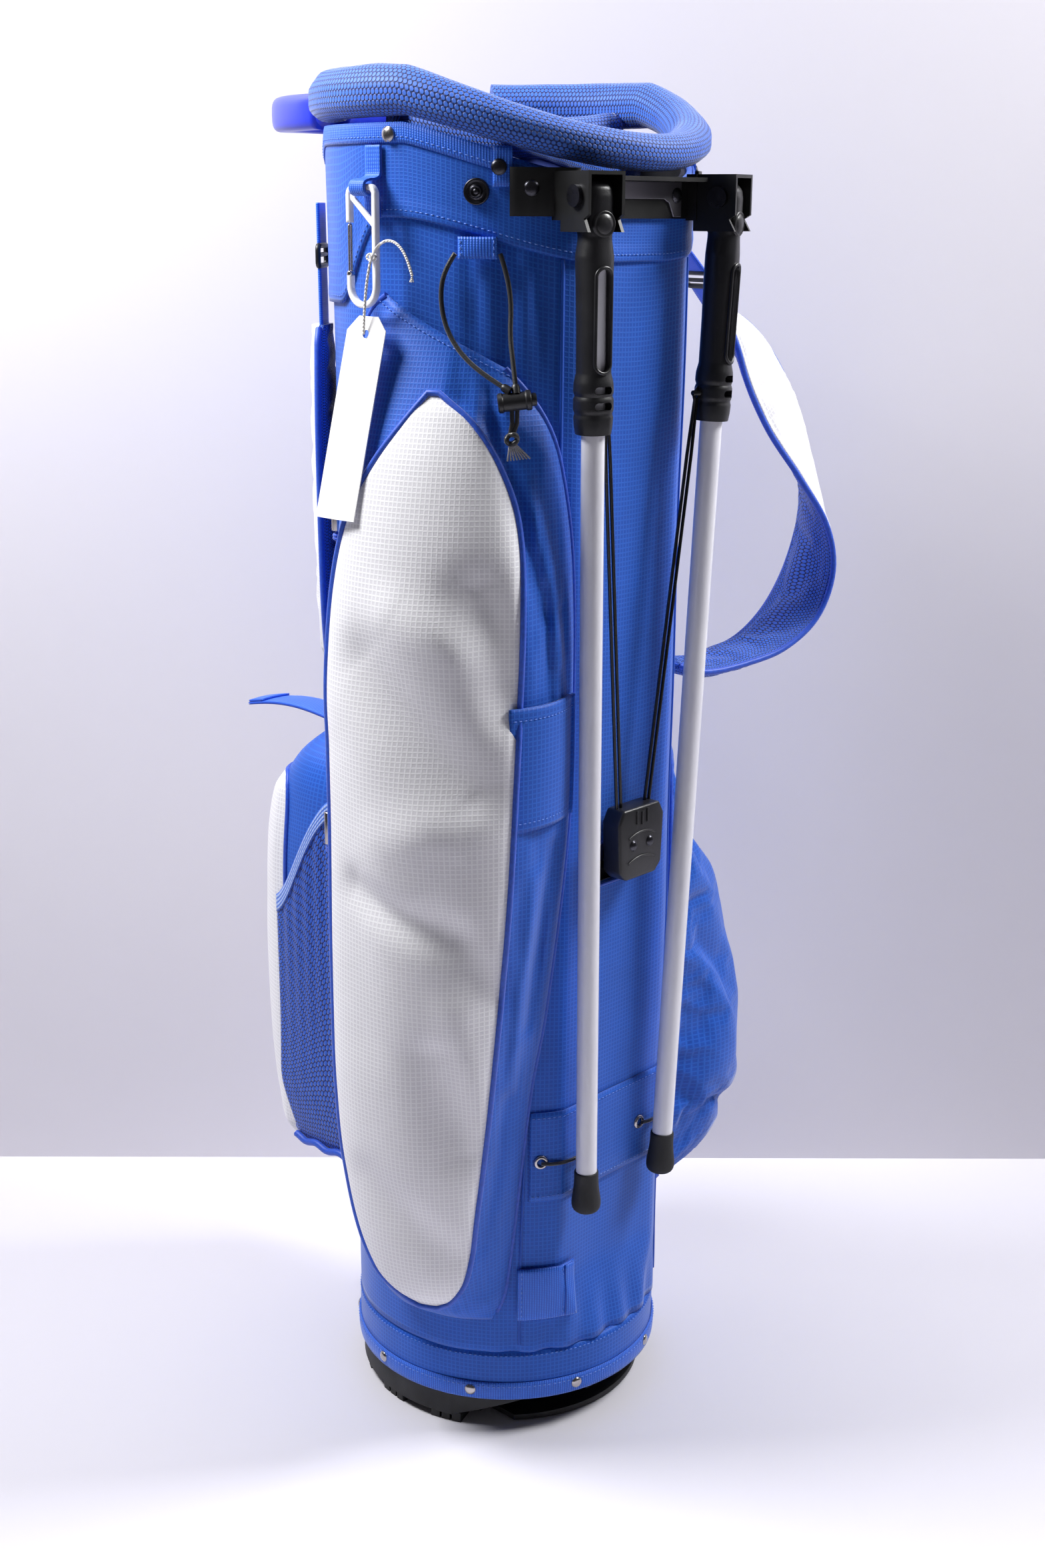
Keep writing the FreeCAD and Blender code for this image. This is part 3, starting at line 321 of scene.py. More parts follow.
body_wall = drape("body_wall", 168, 150, (0.66, 0.76), wall_place, close=True)
bm = bmesh.new()
bm.from_mesh(body_wall.data)
SLOT_HALF, SLOT_LOW, SLOT_HIGH = 0.027, 0.376, 0.402
for spot, normal in (((SLOT_HALF, 0, 0), (1, 0, 0)), ((-SLOT_HALF, 0, 0), (1, 0, 0)),
                     ((0, 0, SLOT_LOW), (0, 0, 1)), ((0, 0, SLOT_HIGH), (0, 0, 1))):
    front = [f for f in bm.faces if f.calc_center_median().y < -0.08 and 0.33 < f.calc_center_median().z < 0.45]
    cut = set(front) | {e for f in front for e in f.edges} | {v for f in front for v in f.verts}
    bmesh.ops.bisect_plane(bm, geom=list(cut), plane_co=spot, plane_no=normal, dist=1e-6)
gone = [f for f in bm.faces if abs(f.calc_center_median().x) < SLOT_HALF and f.calc_center_median().y < -0.08
        and SLOT_LOW < f.calc_center_median().z < SLOT_HIGH]
bmesh.ops.delete(bm, geom=gone, context="FACES")
bm.to_mesh(body_wall.data)
bm.free()
body_wall.data.materials.append(blue_ripstop)
body_wall.data.materials.append(liner_finish)
sew_on(thicken(body_wall, WALL, inside=1), blue_ripstop, "blue_ripstop", "body_shell")


def tube_along(name, points, diameter, cyclic=False, sides=3):
    """A round bead of one thickness along a line, made a mesh: piping, wire or thread."""
    line = bpy.data.curves.new(name, "CURVE")
    line.dimensions = "3D"
    line.bevel_depth, line.bevel_resolution, line.use_fill_caps = diameter / 2, sides, True
    spline = line.splines.new("POLY")
    spline.points.add(len(points) - 1)
    for point, at in zip(spline.points, points):
        point.co = (*at, 1)
    spline.use_cyclic_u = cyclic
    holder = bpy.data.objects.new(name, line)
    scene.collection.objects.link(holder)
    mesh = bpy.data.meshes.new_from_object(holder.evaluated_get(bpy.context.evaluated_depsgraph_get()))
    mesh.name = name
    bpy.data.objects.remove(holder)
    piece = bpy.data.objects.new(name, mesh)
    scene.collection.objects.link(piece)
    piece.data.materials.clear()
    for face in mesh.polygons:
        face.use_smooth = True
    return piece


# Bias tape wrapped round a cord: the weave shows as a faint mottle with a soft sheen.
piping_finish = mottled("blue corded piping", "#1A4DC0", 0.5, 500.0, ("#153FA6", "#225CD8"), (0.25, 0.0003),
                        detail=1.0, Sheen_Weight=0.2)

# A bound slot for the actuator: a raised piped edge with rounded corners.
corners = []
for sx, sz, start in ((1, 1, 0), (-1, 1, 90), (-1, -1, 180), (1, -1, 270)):
    for k in range(6):
        a = math.radians(start + 18 * k)
        middle_z = (SLOT_LOW + SLOT_HIGH) / 2
        x = sx * (SLOT_HALF - 0.006) + 0.006 * math.cos(a)
        z = middle_z + sz * (0.013 - 0.005) + 0.006 * math.sin(a)
        corners.append(Vector((x, -panel_away(z) - 0.0006, z)))
sew_on(tube_along("slot_piping", corners, 0.0022, cyclic=True), piping_finish, "blue_ripstop")

# The two seams of the leg panel, from the foot to the cuff, each a narrow welt turned inwards.
for name, sign in (("left", -1), ("right", 1)):
    welt = []
    for k in range(81):
        z = 0.064 + 0.690 * k / 80
        turn = sign * (42 - 11 * between(z, 0.08, 0.62))
        welt.append(on_bag(turn, skin_radius(turn, z, soft_wave(turn, z) + 0.0001), z))
    sew_on(tube_along("panel_seam_" + name, welt, 0.0021), blue_ripstop, "blue_ripstop")


def stitch_row(name, path, pitch=0.0034, long=0.0023, thick=0.0006, samples=500):
    """Lock stitches along a path that gives a point and the outward direction at each share."""
    bm = bmesh.new()
    line = [path(k / samples) for k in range(samples + 1)]
    travelled, due = 0.0, pitch / 2
    for (here, out), (ahead, _) in zip(line, line[1:]):
        travelled += (ahead - here).length
        if travelled < due:
            continue
        due += pitch
        along = (ahead - here).normalized()
        side = out.cross(along).normalized()
        turned = Matrix((along, side, side.cross(along) * -1)).transposed().to_4x4()
        bmesh.ops.create_icosphere(bm, subdivisions=1, radius=1.0, matrix=(
            Matrix.Translation(here) @ turned @ Matrix.Diagonal((long / 2, thick / 2, thick / 2, 1))))
    bmesh.ops.recalc_face_normals(bm, faces=bm.faces)
    return own_object(name, bm)


# Bonded nylon thread, paler than the cloth; its twist breaks the colour up.
thread_finish = mottled("light blue sewing thread", "#5C8FE8", 0.6, 2500.0, ("#3F74DC", "#86ADF2"), detail=0.0,
                        Sheen_Weight=0.2)


def along_skin(turn_at, height_at, off):
    """A path on the bag's skin with the outward direction, from its turn and height at each share."""
    def path(t):
        turn, z = turn_at(t), height_at(t)
        return on_bag(turn, skin_radius(turn, z, off), z), on_bag(turn, 1, 0)
    return path


def stitch(name, path, **how):
    """Sews a row of lock stitches in the pale blue thread."""
    sew_on(stitch_row(name, path, **how), thread_finish, "blue_webbing")


# ---- cuff and its binding -----------------------------------------------------------------------
# A second layer of ripstop round the top, its lower hem folded and stitched, its upper edge bound
# with ribbed webbing that stops at the stand's bracket.
def cuff_hem(turn):
    """The hem's height: level over the legs, dropping towards the handle."""
    side = abs(turn) if turn < 0 else turn + 6
    return 0.752 + 0.024 * between(side, 18, 84) - 0.049 * between(side, 88, 112)


def cuff_place(u, v):
    turn = -180 + 360 * u
    low = cuff_hem(turn)
    high = rim_height(-0.107 * math.cos(math.radians(turn))) - 0.0185
    z = low + (high - low) * v
    puff = 0.0004 * math.sin(math.pi * min(1.0, (z - low) / 0.010)) if z - low < 0.010 else 0.0
    wave = 0.0007 * noise.noise(Vector((turn / 17, z * 22, 8.0)))
    return on_bag(turn, skin_radius(turn, z, 0.0021 + wave + puff), z)


cuff = drape("cuff", 168, 26, (0.68, 0.07), cuff_place, close=True)
sew_on(thicken(cuff, 0.0014), blue_ripstop, "blue_ripstop", "cuff_cover")


stitch("cuff_hem_stitches", along_skin(lambda t: -180 + 360 * t, lambda t: cuff_hem(-180 + 360 * t) + 0.0042,
                                       0.0025), samples=1200)


def webbing(name, ground, rib, pitch=0.0016, across="X"):
    """Woven polypropylene webbing: fine cross ribs with a bright sheen, tighter at the edges."""
    finish, tree, surface = start_finish(name, ground, 0.5, Sheen_Weight=0.35, Sheen_Roughness=0.3)
    cut = add_node(tree, "ShaderNodeUVMap", uv_map="cloth")
    ribs = add_node(tree, "ShaderNodeTexWave", {"Vector": cut.outputs["UV"], "Scale": 0.314 / pitch,
                                                "Distortion": 0.0}, wave_type="BANDS", bands_direction=across)
    yarn = add_node(tree, "ShaderNodeTexWave", {"Vector": cut.outputs["UV"], "Scale": 0.314 / (pitch * 0.8),
                                                "Distortion": 0.0}, wave_type="BANDS",
                    bands_direction="Y" if across == "X" else "X")
    woven = add_node(tree, "ShaderNodeMath", {0: ribs.outputs["Fac"], 1: yarn.outputs["Fac"], 2: 0.0},
                     operation="MULTIPLY_ADD")
    mixed = add_node(tree, "ShaderNodeMath", {0: ribs.outputs["Fac"], 1: woven.outputs["Value"]}, operation="ADD")
    level = add_node(tree, "ShaderNodeMapRange", {"Value": mixed.outputs["Value"], "From Max": 2.0})
    tone = add_node(tree, "ShaderNodeMix", {"Factor": level.outputs["Result"], "A": linear(ground),
                                            "B": linear(rib)}, data_type="RGBA")
    tree.links.new(tone.outputs["Result"], surface.inputs["Base Color"])
    relief = add_node(tree, "ShaderNodeBump", {"Height": level.outputs["Result"], "Strength": 0.55,
                                               "Distance": 0.0005})
    tree.links.new(relief.outputs["Normal"], surface.inputs["Normal"])
    return finish


blue_webbing = webbing("bright blue webbing", "#1450C8", "#3E84F2")


def binding_height(turn):
    """Lower edge of the binding, right under the collar; it curves down beside the handle."""
    return rim_height(-0.107 * math.cos(math.radians(turn))) - 0.0262 - 0.010 * between(abs(turn), 124, 138)


for name, first, last in (("left", -138, -49), ("right", 49, 138)):
    def binding_place(u, v):
        turn = first + (last - first) * u
        z = binding_height(turn) + 0.0112 * v
        bulge = 0.0006 * math.sin(math.pi * v)
        return on_bag(turn, skin_radius(turn, z, 0.0030 + bulge), z)

    strip = drape("cuff_binding_" + name, 90, 5, (0.17, 0.011), binding_place)
    sew_on(thicken(strip, 0.0010), blue_webbing, "blue_webbing", *(["cuff_binding"] if name == "left" else []))
    tail_turn = last if name == "left" else first

    def tail_place(u, v):
        turn = tail_turn + (u - 0.5) * 5.6
        z = 0.7925 + 0.0215 * v
        return on_bag(turn, skin_radius(turn, z, 0.0037), z)

    sew_on(thicken(drape("binding_tail_" + name, 5, 6, (0.011, 0.021), tail_place), 0.0010), blue_webbing,
           "blue_webbing")

    stitch("binding_stitches_" + name, along_skin(
        lambda t: first + (last - first) * t,
        lambda t: binding_height(first + (last - first) * t) + 0.0034, 0.0036))


# ---- collar -------------------------------------------------------------------------------------
# A foam roll over the rim, covered in knitted spacer mesh with hexagonal holes.  It is tallest on
# the handle's side and ends there; the dividers' padded bars hang between its sides.
def hex_mesh(name, hole_shade, lattice, cell=0.0024):
    """Spacer mesh: rows of six-sided holes, 2 to 3 mm apart, in a lighter raised lattice; the holes' dark colour is
    painted shade in their depth.
    """
    finish, tree, surface = start_finish(name, hole_shade, 0.6, Sheen_Weight=0.3, Sheen_Roughness=0.35)
    cut = add_node(tree, "ShaderNodeUVMap", uv_map="cloth")
    total = None
    for angle in (0, 60, 120):
        turned = add_node(tree, "ShaderNodeMapping", {"Vector": cut.outputs["UV"],
                                                      "Rotation": (0, 0, math.radians(angle))})
        band = add_node(tree, "ShaderNodeTexWave", {"Vector": turned.outputs["Vector"], "Scale": 0.314 / cell,
                                                    "Distortion": 0.0}, wave_type="BANDS", bands_direction="Y")
        if total is None:
            total = band.outputs["Fac"]
        else:
            total = add_node(tree, "ShaderNodeMath", {0: total, 1: band.outputs["Fac"]},
                             operation="ADD").outputs["Value"]
    opening = add_node(tree, "ShaderNodeMapRange", {"Value": total, "From Min": 1.55, "From Max": 2.15},
                       interpolation_type="SMOOTHSTEP")
    cloudy = add_node(tree, "ShaderNodeTexNoise", {"Vector": cut.outputs["UV"], "Scale": 60.0})
    yarn = add_node(tree, "ShaderNodeMix", {"Factor": cloudy.outputs["Fac"], "A": linear(lattice),
                                            "B": linear("#2A62D0")}, data_type="RGBA")
    # Painted shade: the holes take a very dark colour, standing for the shade inside them.
    tone = add_node(tree, "ShaderNodeMix", {"Factor": opening.outputs["Result"], "A": yarn.outputs["Result"],
                                            "B": linear(hole_shade)}, data_type="RGBA")
    tree.links.new(tone.outputs["Result"], surface.inputs["Base Color"])
    relief = add_node(tree, "ShaderNodeBump", {"Height": opening.outputs["Result"], "Strength": 0.8,
                                               "Distance": 0.0008}, invert=True)
    tree.links.new(relief.outputs["Normal"], surface.inputs["Normal"])
    return finish


# The collar's holes are painted near black blue as shade.
collar_mesh = hex_mesh("blue spacer mesh", "#0A2266", "#3F77E0")
COLLAR_END, COLLAR_MIDDLE = 140.0, 0.107


def collar_place(u, v):
    turn = -COLLAR_END + 2 * COLLAR_END * u
    middle = on_bag(turn, COLLAR_MIDDLE, 0)
    side = 1 - max(0.0, math.cos(math.radians(turn)))
    tall = 0.0115 + 0.0042 * side
    wide = 0.0121
    a = 2 * math.pi * v
    squeeze = 1 + 0.10 * math.cos(2 * a)
    lump = 1 + 0.035 * noise.noise(Vector((turn / 14, math.cos(a), math.sin(a))))
    pinch = 0.00035 * math.cos(9 * a)
    out = wide * squeeze * lump * -math.cos(a) + pinch
    rise = tall * squeeze * lump * math.sin(a) + 0.0022 * side * math.sin(a) ** 2
    return middle + on_bag(turn, 1, 0) * out + Vector((0, 0, rim_height(middle.y) + rise))


def close_ends(piece, rounded=True):
    """Fills a tube's open ends, flat or shaded round, and turns its faces outwards."""
    bm = bmesh.new()
    bm.from_mesh(piece.data)
    bmesh.ops.holes_fill(bm, edges=[e for e in bm.edges if e.is_boundary], sides=0)
    bmesh.ops.recalc_face_normals(bm, faces=bm.faces)
    if rounded:
        for face in bm.faces:
            face.smooth = True
    bm.to_mesh(piece.data)
    bm.free()
    return piece


collar = close_ends(drape("collar", 220, 36, (0.52, 0.078), collar_place, close=True))
sew_on(collar, collar_mesh, "blue_mesh", "collar_pad")


def bar_place(run, side):
    """A padded bar from rim to rim that dips in the middle."""
    def place(u, v):
        middle = run(u)
        a = 2 * math.pi * v
        lump = 1 + 0.06 * noise.noise(Vector((u * 9, math.cos(a), side.x + 2)))
        return middle + side * (0.0092 * lump * math.cos(a)) + Vector((0, 0, 0.0118 * lump * math.sin(a)))
    return place


def dip(at, share):
    """Height of a divider bar at a place across the mouth."""
    return rim_height(at) - 0.014 - 0.006 * (1 - share ** 2)


bars = (("across", lambda u: Vector((-0.094 + 0.188 * u, 0, 0.842 - 0.014 - 0.006 * (1 - (2 * u - 1) ** 2))),
         Vector((0, 1, 0))),
        ("to_handle", lambda u: Vector((0, 0.006 + 0.088 * u, dip(0, u))), Vector((1, 0, 0))),
        ("to_legs", lambda u: Vector((0, -0.006 - 0.088 * u, dip(-0.006 - 0.088 * u, u))), Vector((1, 0, 0))))
for name, run, side in bars:
    bar = drape("divider_bar_" + name, 48, 20, (0.17, 0.066), bar_place(run, side), close=True)
    close_ends(bar, rounded=False)
    sew_on(bar, collar_mesh, "blue_mesh", *(["divider_pads"] if name == "across" else []))


# ---- moulded foot, its hem and pedal ------------------------------------------------------------
# A black rubbery moulding with tread blocks; the cloth is clamped to it by a webbing-bound hem and
# nine plated rivets.  A hinged plate under the leg side works the stand.
def moulded(name, colour, roughness, grain=900.0, depth=0.25, worn=0.08, **shader):
    """An injection-moulded part: a fine spark-eroded grain and slightly scuffed patches."""
    finish, tree, surface = start_finish(name, colour, roughness, **shader)
    where = add_node(tree, "ShaderNodeTexCoord")
    pits = add_node(tree, "ShaderNodeTexNoise", {"Vector": where.outputs["Object"], "Scale": grain, "Detail": 2.0})
    relief = add_node(tree, "ShaderNodeBump", {"Height": pits.outputs["Fac"], "Strength": depth,
                                               "Distance": 0.0003})
    tree.links.new(relief.outputs["Normal"], surface.inputs["Normal"])
    scuffs = add_node(tree, "ShaderNodeTexNoise", {"Vector": where.outputs["Object"], "Scale": 45.0, "Detail": 4.0})
    rough = add_node(tree, "ShaderNodeMapRange", {"Value": scuffs.outputs["Fac"], "From Min": 0.3, "From Max": 0.7,
                                                  "To Min": roughness - worn, "To Max": roughness + worn})
    tree.links.new(rough.outputs["Result"], surface.inputs["Roughness"])
    return finish


def refinish(finish, slot, *names):
    """Puts a material on CAD nodes whose shape is kept."""
    for node in names:
        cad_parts[node].data.materials.clear()
        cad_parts[node].data.materials.append(finish)


foot_rubber = moulded("black moulded rubber", "#19191B", 0.62)
refinish(foot_rubber, "base_rubber", "base_cup", "base_pedal")
black_plastic = moulded("black moulded nylon", "#161618", 0.40)
refinish(black_plastic, "black_plastic", "top_ring", "push_strip")

HEM_R, HEM_FOOT, HEM_TOP, BOUND_TOP = 0.1026, 0.0240, 0.0590, 0.0362


def hem_place(u, v):
    turn = -180 + 360 * u
    z = HEM_FOOT + (HEM_TOP - HEM_FOOT) * v
    fold = between(v, 0.90, 1.0)
    r = HEM_R + 0.0004 * noise.noise(Vector((turn / 15, z * 30, 1.0))) - 0.0032 * fold
    return on_bag(turn, r, z)


def hem_binding_place(u, v):
    turn = -180 + 360 * u
    z = HEM_FOOT - 0.0002 + (BOUND_TOP - HEM_FOOT) * v
    return on_bag(turn, HEM_R + 0.0012 + 0.0005 * math.sin(math.pi * v), z)


hem = thicken(drape("base_hem_cloth", 180, 20, (0.645, 0.035), hem_place, close=True), 0.0012)
sew_on(hem, blue_ripstop, "blue_ripstop", "base_hem")
sew_on(thicken(drape("base_binding", 180, 6, (0.65, 0.012), hem_binding_place, close=True), 0.0010),
       blue_webbing, "blue_webbing")
for name, z, r in (("hem_stitches", 0.0556, HEM_R + 0.0003), ("base_binding_stitches", 0.0333, HEM_R + 0.0018)):
    stitch(name, lambda t: (on_bag(360 * t, r, z), on_bag(360 * t, 1, 0)), samples=1200)


def plated(name, colour, roughness):
    """Plated steel: a bright metal with very fine polishing marks."""
    finish, tree, surface = start_finish(name, colour, roughness, Metallic=1.0)
    where = add_node(tree, "ShaderNodeTexCoord")
    marks = add_node(tree, "ShaderNodeTexNoise", {"Vector": where.outputs["Object"], "Scale": 700.0, "Detail": 3.0})
    rough = add_node(tree, "ShaderNodeMapRange", {"Value": marks.outputs["Fac"], "To Min": roughness - 0.06,
                                                  "To Max": roughness + 0.10})
    tree.links.new(rough.outputs["Result"], surface.inputs["Roughness"])
    relief = add_node(tree, "ShaderNodeBump", {"Height": marks.outputs["Fac"], "Strength": 0.06,
                                               "Distance": 0.0002})
    tree.links.new(relief.outputs["Normal"], surface.inputs["Normal"])
    return finish


nickel = plated("nickel plated steel", "#B9B4B4", 0.22)
gunmetal = plated("gunmetal plated steel", "#4A4A50", 0.28)
refinish(nickel, "steel_wire", "pedal_pin")


def dome_heads(name, places, radius, height):
    """Rivet heads: low domes at each place, facing out, with a small flat land round them."""
    bm = bmesh.new()
    for at, out in places:
        turned = out.to_track_quat("Z", "Y").to_matrix().to_4x4()
        bmesh.ops.create_uvsphere(bm, u_segments=20, v_segments=12, radius=1.0, matrix=(
            Matrix.Translation(at) @ turned @ Matrix.Diagonal((radius, radius, height, 1))))
        bmesh.ops.create_cone(bm, cap_ends=True, segments=20, radius1=radius * 1.06, radius2=radius * 1.0,
                              depth=0.0006, matrix=Matrix.Translation(at + out * 0.0002) @ turned)
    return own_object(name, bm)


rivet_spots = [(on_bag(20 + 40 * k, HEM_R + 0.0016, 0.0302), on_bag(20 + 40 * k, 1, 0)) for k in range(9)]
sew_on(dome_heads("base_rivet_heads", rivet_spots, 0.0036, 0.0017), nickel, "nickel", "base_rivets")


# ---- lift handle --------------------------------------------------------------------------------
# A soft blue moulded loop that stands out from the rim at the back, with a block between the
# collar's ends.  It is slightly translucent and satin.
handle_blue = mottled("satin blue soft plastic", "#2233C4", 0.33, 60.0, ("#1B2BB4", "#2C40D6"),
                      (0.12, 0.0002, 1400.0), detail=3.0, Subsurface_Weight=0.25, Subsurface_Scale=0.006,
                      Coat_Weight=0.15)


def round_bar(middle, side, up, half_side, half_up, v):
    """A point on a bar's rounded-square section, at share v round it."""
    a = 2 * math.pi * v
    cos, sin = math.cos(a), math.sin(a)
    return (middle + side * (half_side * math.copysign(abs(cos) ** 0.6, cos))
            + up * (half_up * math.copysign(abs(sin) ** 0.6, sin)))


def handle_place(u, v):
    a = math.pi * (0.012 + 0.976 * u)
    middle = Vector((0.052 * math.cos(a), 0.107 + 0.080 * math.sin(a), 0.838))
    outward = Vector((math.cos(a) / 0.052, math.sin(a) / 0.080, 0)).normalized()
    grip = 1 - 0.10 * math.sin(a) ** 6
    return round_bar(middle, outward, Vector((0, 0, 1)), 0.0078 * grip, 0.0108 * grip, v)


def handle_block_place(u, v):
    turn = 142 + 76 * u
    return round_bar(on_bag(turn, 0.1075, 0.8395), on_bag(turn, 1, 0), Vector((0, 0, 1)), 0.0112, 0.0122, v)


for name, place in (("handle_loop", handle_place), ("handle_block", handle_block_place)):
    part = close_ends(drape(name, 64, 28, (0.2, 0.07), place, close=True), rounded=False)
    sew_on(part, handle_blue, "blue_handle", *(["lift_handle"] if name == "handle_loop" else []))


# ---- bracket, bolts and rivets ------------------------------------------------------------------
# A pressed steel bracket, powder coated satin black, riveted through the cuff; each leg's head
# turns on a bolt in it.  A satin grey plate joins the two sides.
def push(bm, faces, way):
    """Draws faces out along a direction, which makes a plate of an outline."""
    pushed = bmesh.ops.extrude_face_region(bm, geom=faces)["geom"]
    bmesh.ops.translate(bm, verts=[v for v in pushed if isinstance(v, bmesh.types.BMVert)], vec=way)


coated_steel = moulded("black powder coat", "#0C0C0D", 0.44, grain=500.0, depth=0.06, worn=0.04)
refinish(coated_steel, "black_steel", "stand_bracket")
for node, reach in (("stand_bracket", 0.0009), ("base_cup", 0.0012), ("base_pedal", 0.0012)):
    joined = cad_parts[node].modifiers.new("joined", "WELD")
    joined.merge_threshold = 1e-6
    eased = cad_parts[node].modifiers.new("eased edges", "BEVEL")
    eased.width, eased.segments, eased.limit_method = reach, 3, "ANGLE"
    eased.angle_limit, eased.harden_normals = math.radians(38), True
refinish(gunmetal, "gunmetal", "pivot_bolts")
satin_plate = plated("satin nickel plate", "#8E8C94", 0.38)
outline = [(-0.0345, 0.7965), (-0.0345, 0.7770), (-0.0275, 0.7770), (-0.0235, 0.7845), (-0.0190, 0.7868),
           (0.0190, 0.7868), (0.0235, 0.7845), (0.0275, 0.7770), (0.0345, 0.7770), (0.0345, 0.7965)]
bm = bmesh.new()
plate_face = bm.faces.new([bm.verts.new((x, -0.1034, z)) for x, z in outline])
push(bm, [plate_face], (0, -0.0011, 0))
bmesh.ops.bevel(bm, geom=bm.edges[:], offset=0.0004, affect="EDGES", segments=2, profile=0.5, material=-1)
bmesh.ops.recalc_face_normals(bm, faces=bm.faces)
sew_on(own_object("bracket_plate", bm, smooth=False), satin_plate, "gunmetal")
spots = [(Vector((x, -0.1045, 0.789)), Vector((0, -1, 0))) for x in (-0.030, 0.030)]
spots += [(on_bag(a, 0.1151, 0.792), on_bag(a, 1, 0)) for a in (-41, 41)]
spots += [(on_bag(a, skin_radius(a, z, 0.0046), z), on_bag(a, 1, 0)) for a, z in ((-50, 0.803), (50, 0.803))]
sew_on(dome_heads("bracket_rivet_heads", spots, 0.0042, 0.0018), gunmetal, "gunmetal", "top_rivets")
spots = [(on_bag(a, skin_radius(a, 0.82, 0.0042), 0.8205), on_bag(a, 1, 0)) for a in (-84, 84)]
sew_on(dome_heads("binding_rivet_heads", spots, 0.0042, 0.0018), nickel, "nickel")


def lathe(bm, profile, at, out, steps=24):
    """Spins a profile of (radius, height) pairs about an axis through a place."""
    verts = [bm.verts.new((r, 0, h)) for r, h in profile]
    edges = [bm.edges.new(pair) for pair in zip(verts, verts[1:])]
    spun = bmesh.ops.spin(bm, geom=verts + edges, cent=(0, 0, 0), axis=(0, 0, 1), angle=2 * math.pi,
                          steps=steps, use_merge=True)
    linked, queue = set(), verts + [v for v in spun["geom_last"] if isinstance(v, bmesh.types.BMVert)]
    while queue:
        vert = queue.pop()
        if vert in linked:
            continue
        linked.add(vert)
        queue += [e.other_vert(vert) for e in vert.link_edges]
    turned = Matrix.Translation(at) @ out.to_track_quat("Z", "Y").to_matrix().to_4x4()
    bmesh.ops.transform(bm, matrix=turned, verts=list(linked))


def shaped(name, bm):
    """Merges a spun shape's doubles, turns its faces outwards and makes it an object."""
    bmesh.ops.remove_doubles(bm, verts=bm.verts, dist=1e-6)
    bmesh.ops.recalc_face_normals(bm, faces=bm.faces)
    return own_object(name, bm)


# Press studs for a rain hood: a ring with a raised socket post in its middle.
bm = bmesh.new()
for turn in (-56.5, 56.5):
    base = on_bag(turn, body_radius(0.79) + 0.0021, 0.79)
    lathe(bm, [(0.0001, 0.0034), (0.0015, 0.0034), (0.0016, 0.0026), (0.0024, 0.0026), (0.0026, 0.0036),
               (0.0032, 0.0034), (0.0033, 0.0018), (0.0043, 0.0010), (0.0056, 0.0012), (0.0066, 0.0021),
               (0.0072, 0.0016), (0.0073, 0.0000)], base, on_bag(turn, 1, 0), 32)
sew_on(shaped("hood_studs", bm), gunmetal, "gunmetal", "snap_studs")


# ---- legs ---------------------------------------------------------------------------------------
# Each leg is a white painted aluminium tube in a long black nylon head, with a rubber foot.  The
# head turns on the bracket's bolt; windows in it show the tube.
HINGE, TUBE_LOW = Vector((0.0589, -0.1186, 0.788)), Vector((0.0385, -0.1060, 0.188))
SPLAY = math.radians(14)
# Sprayed gloss paint: a faint orange peel and barely visible handling smears.
tube_white = mottled("gloss white painted aluminium", "#E9E8F0", 0.24, 22.0, ("#E2E1EC", "#F0F0F4"),
                     (0.03, 0.0003, 350.0), detail=5.0, Coat_Weight=0.3, Coat_Roughness=0.1)
refinish(tube_white, "white_tube", "leg_tube_left", "leg_tube_right")
head_nylon = moulded("satin black glass filled nylon", "#1B1B1E", 0.36, grain=700.0, depth=0.18)
leg_rubber = moulded("charcoal leg rubber", "#1E1E20", 0.7, grain=450.0, depth=0.5)
wire_black = moulded("black coated spring wire", "#0A0A0B", 0.25, grain=300.0, depth=0.04, worn=0.05)

# distance down from the bolt, half width, half depth
HEAD_SIZES = ((-0.0094, 0.0080, 0.0010), (-0.0080, 0.0086, 0.0050), (-0.0045, 0.0088, 0.0083), (0, 0.0089, 0.0093),
              (0.012, 0.0091, 0.0094), (0.023, 0.0090, 0.0094), (0.032, 0.0106, 0.0098), (0.046, 0.0100, 0.0100),
              (0.070, 0.0095, 0.0096), (0.095, 0.0095, 0.0096), (0.1005, 0.0108, 0.0108), (0.1055, 0.0110, 0.0110),
              (0.1075, 0.0102, 0.0102), (0.1095, 0.0110, 0.0110), (0.1155, 0.0110, 0.0110), (0.1175, 0.0102, 0.0102),
              (0.1195, 0.0108, 0.0108), (0.1245, 0.0105, 0.0105), (0.1290, 0.0098, 0.0098))


def size_at(table, at):
    """Reads a row of a size table at any place, easing between its rows."""
    for low, high in zip(table, table[1:]):
        if at <= high[0]:
            t = min(1.0, max(0.0, (at - low[0]) / (high[0] - low[0])))
            return [a + (b - a) * t for a, b in zip(low[1:], high[1:])]
    return list(table[-1][1:])


def applied(piece):
    """The piece with its modifiers made part of its mesh."""
    ready = piece.evaluated_get(bpy.context.evaluated_depsgraph_get())
    mesh = bpy.data.meshes.new_from_object(ready)
    piece.modifiers.clear()
    piece.data = mesh
    return piece


def sharpen(piece, degrees=35):
    """Marks edges over an angle sharp, so that crisp corners shade crisply."""
    bm = bmesh.new()
    bm.from_mesh(piece.data)
    for edge in bm.edges:
        if len(edge.link_faces) == 2 and edge.calc_face_angle(0) > math.radians(degrees):
            edge.smooth = False
    bm.to_mesh(piece.data)
    bm.free()
    return piece


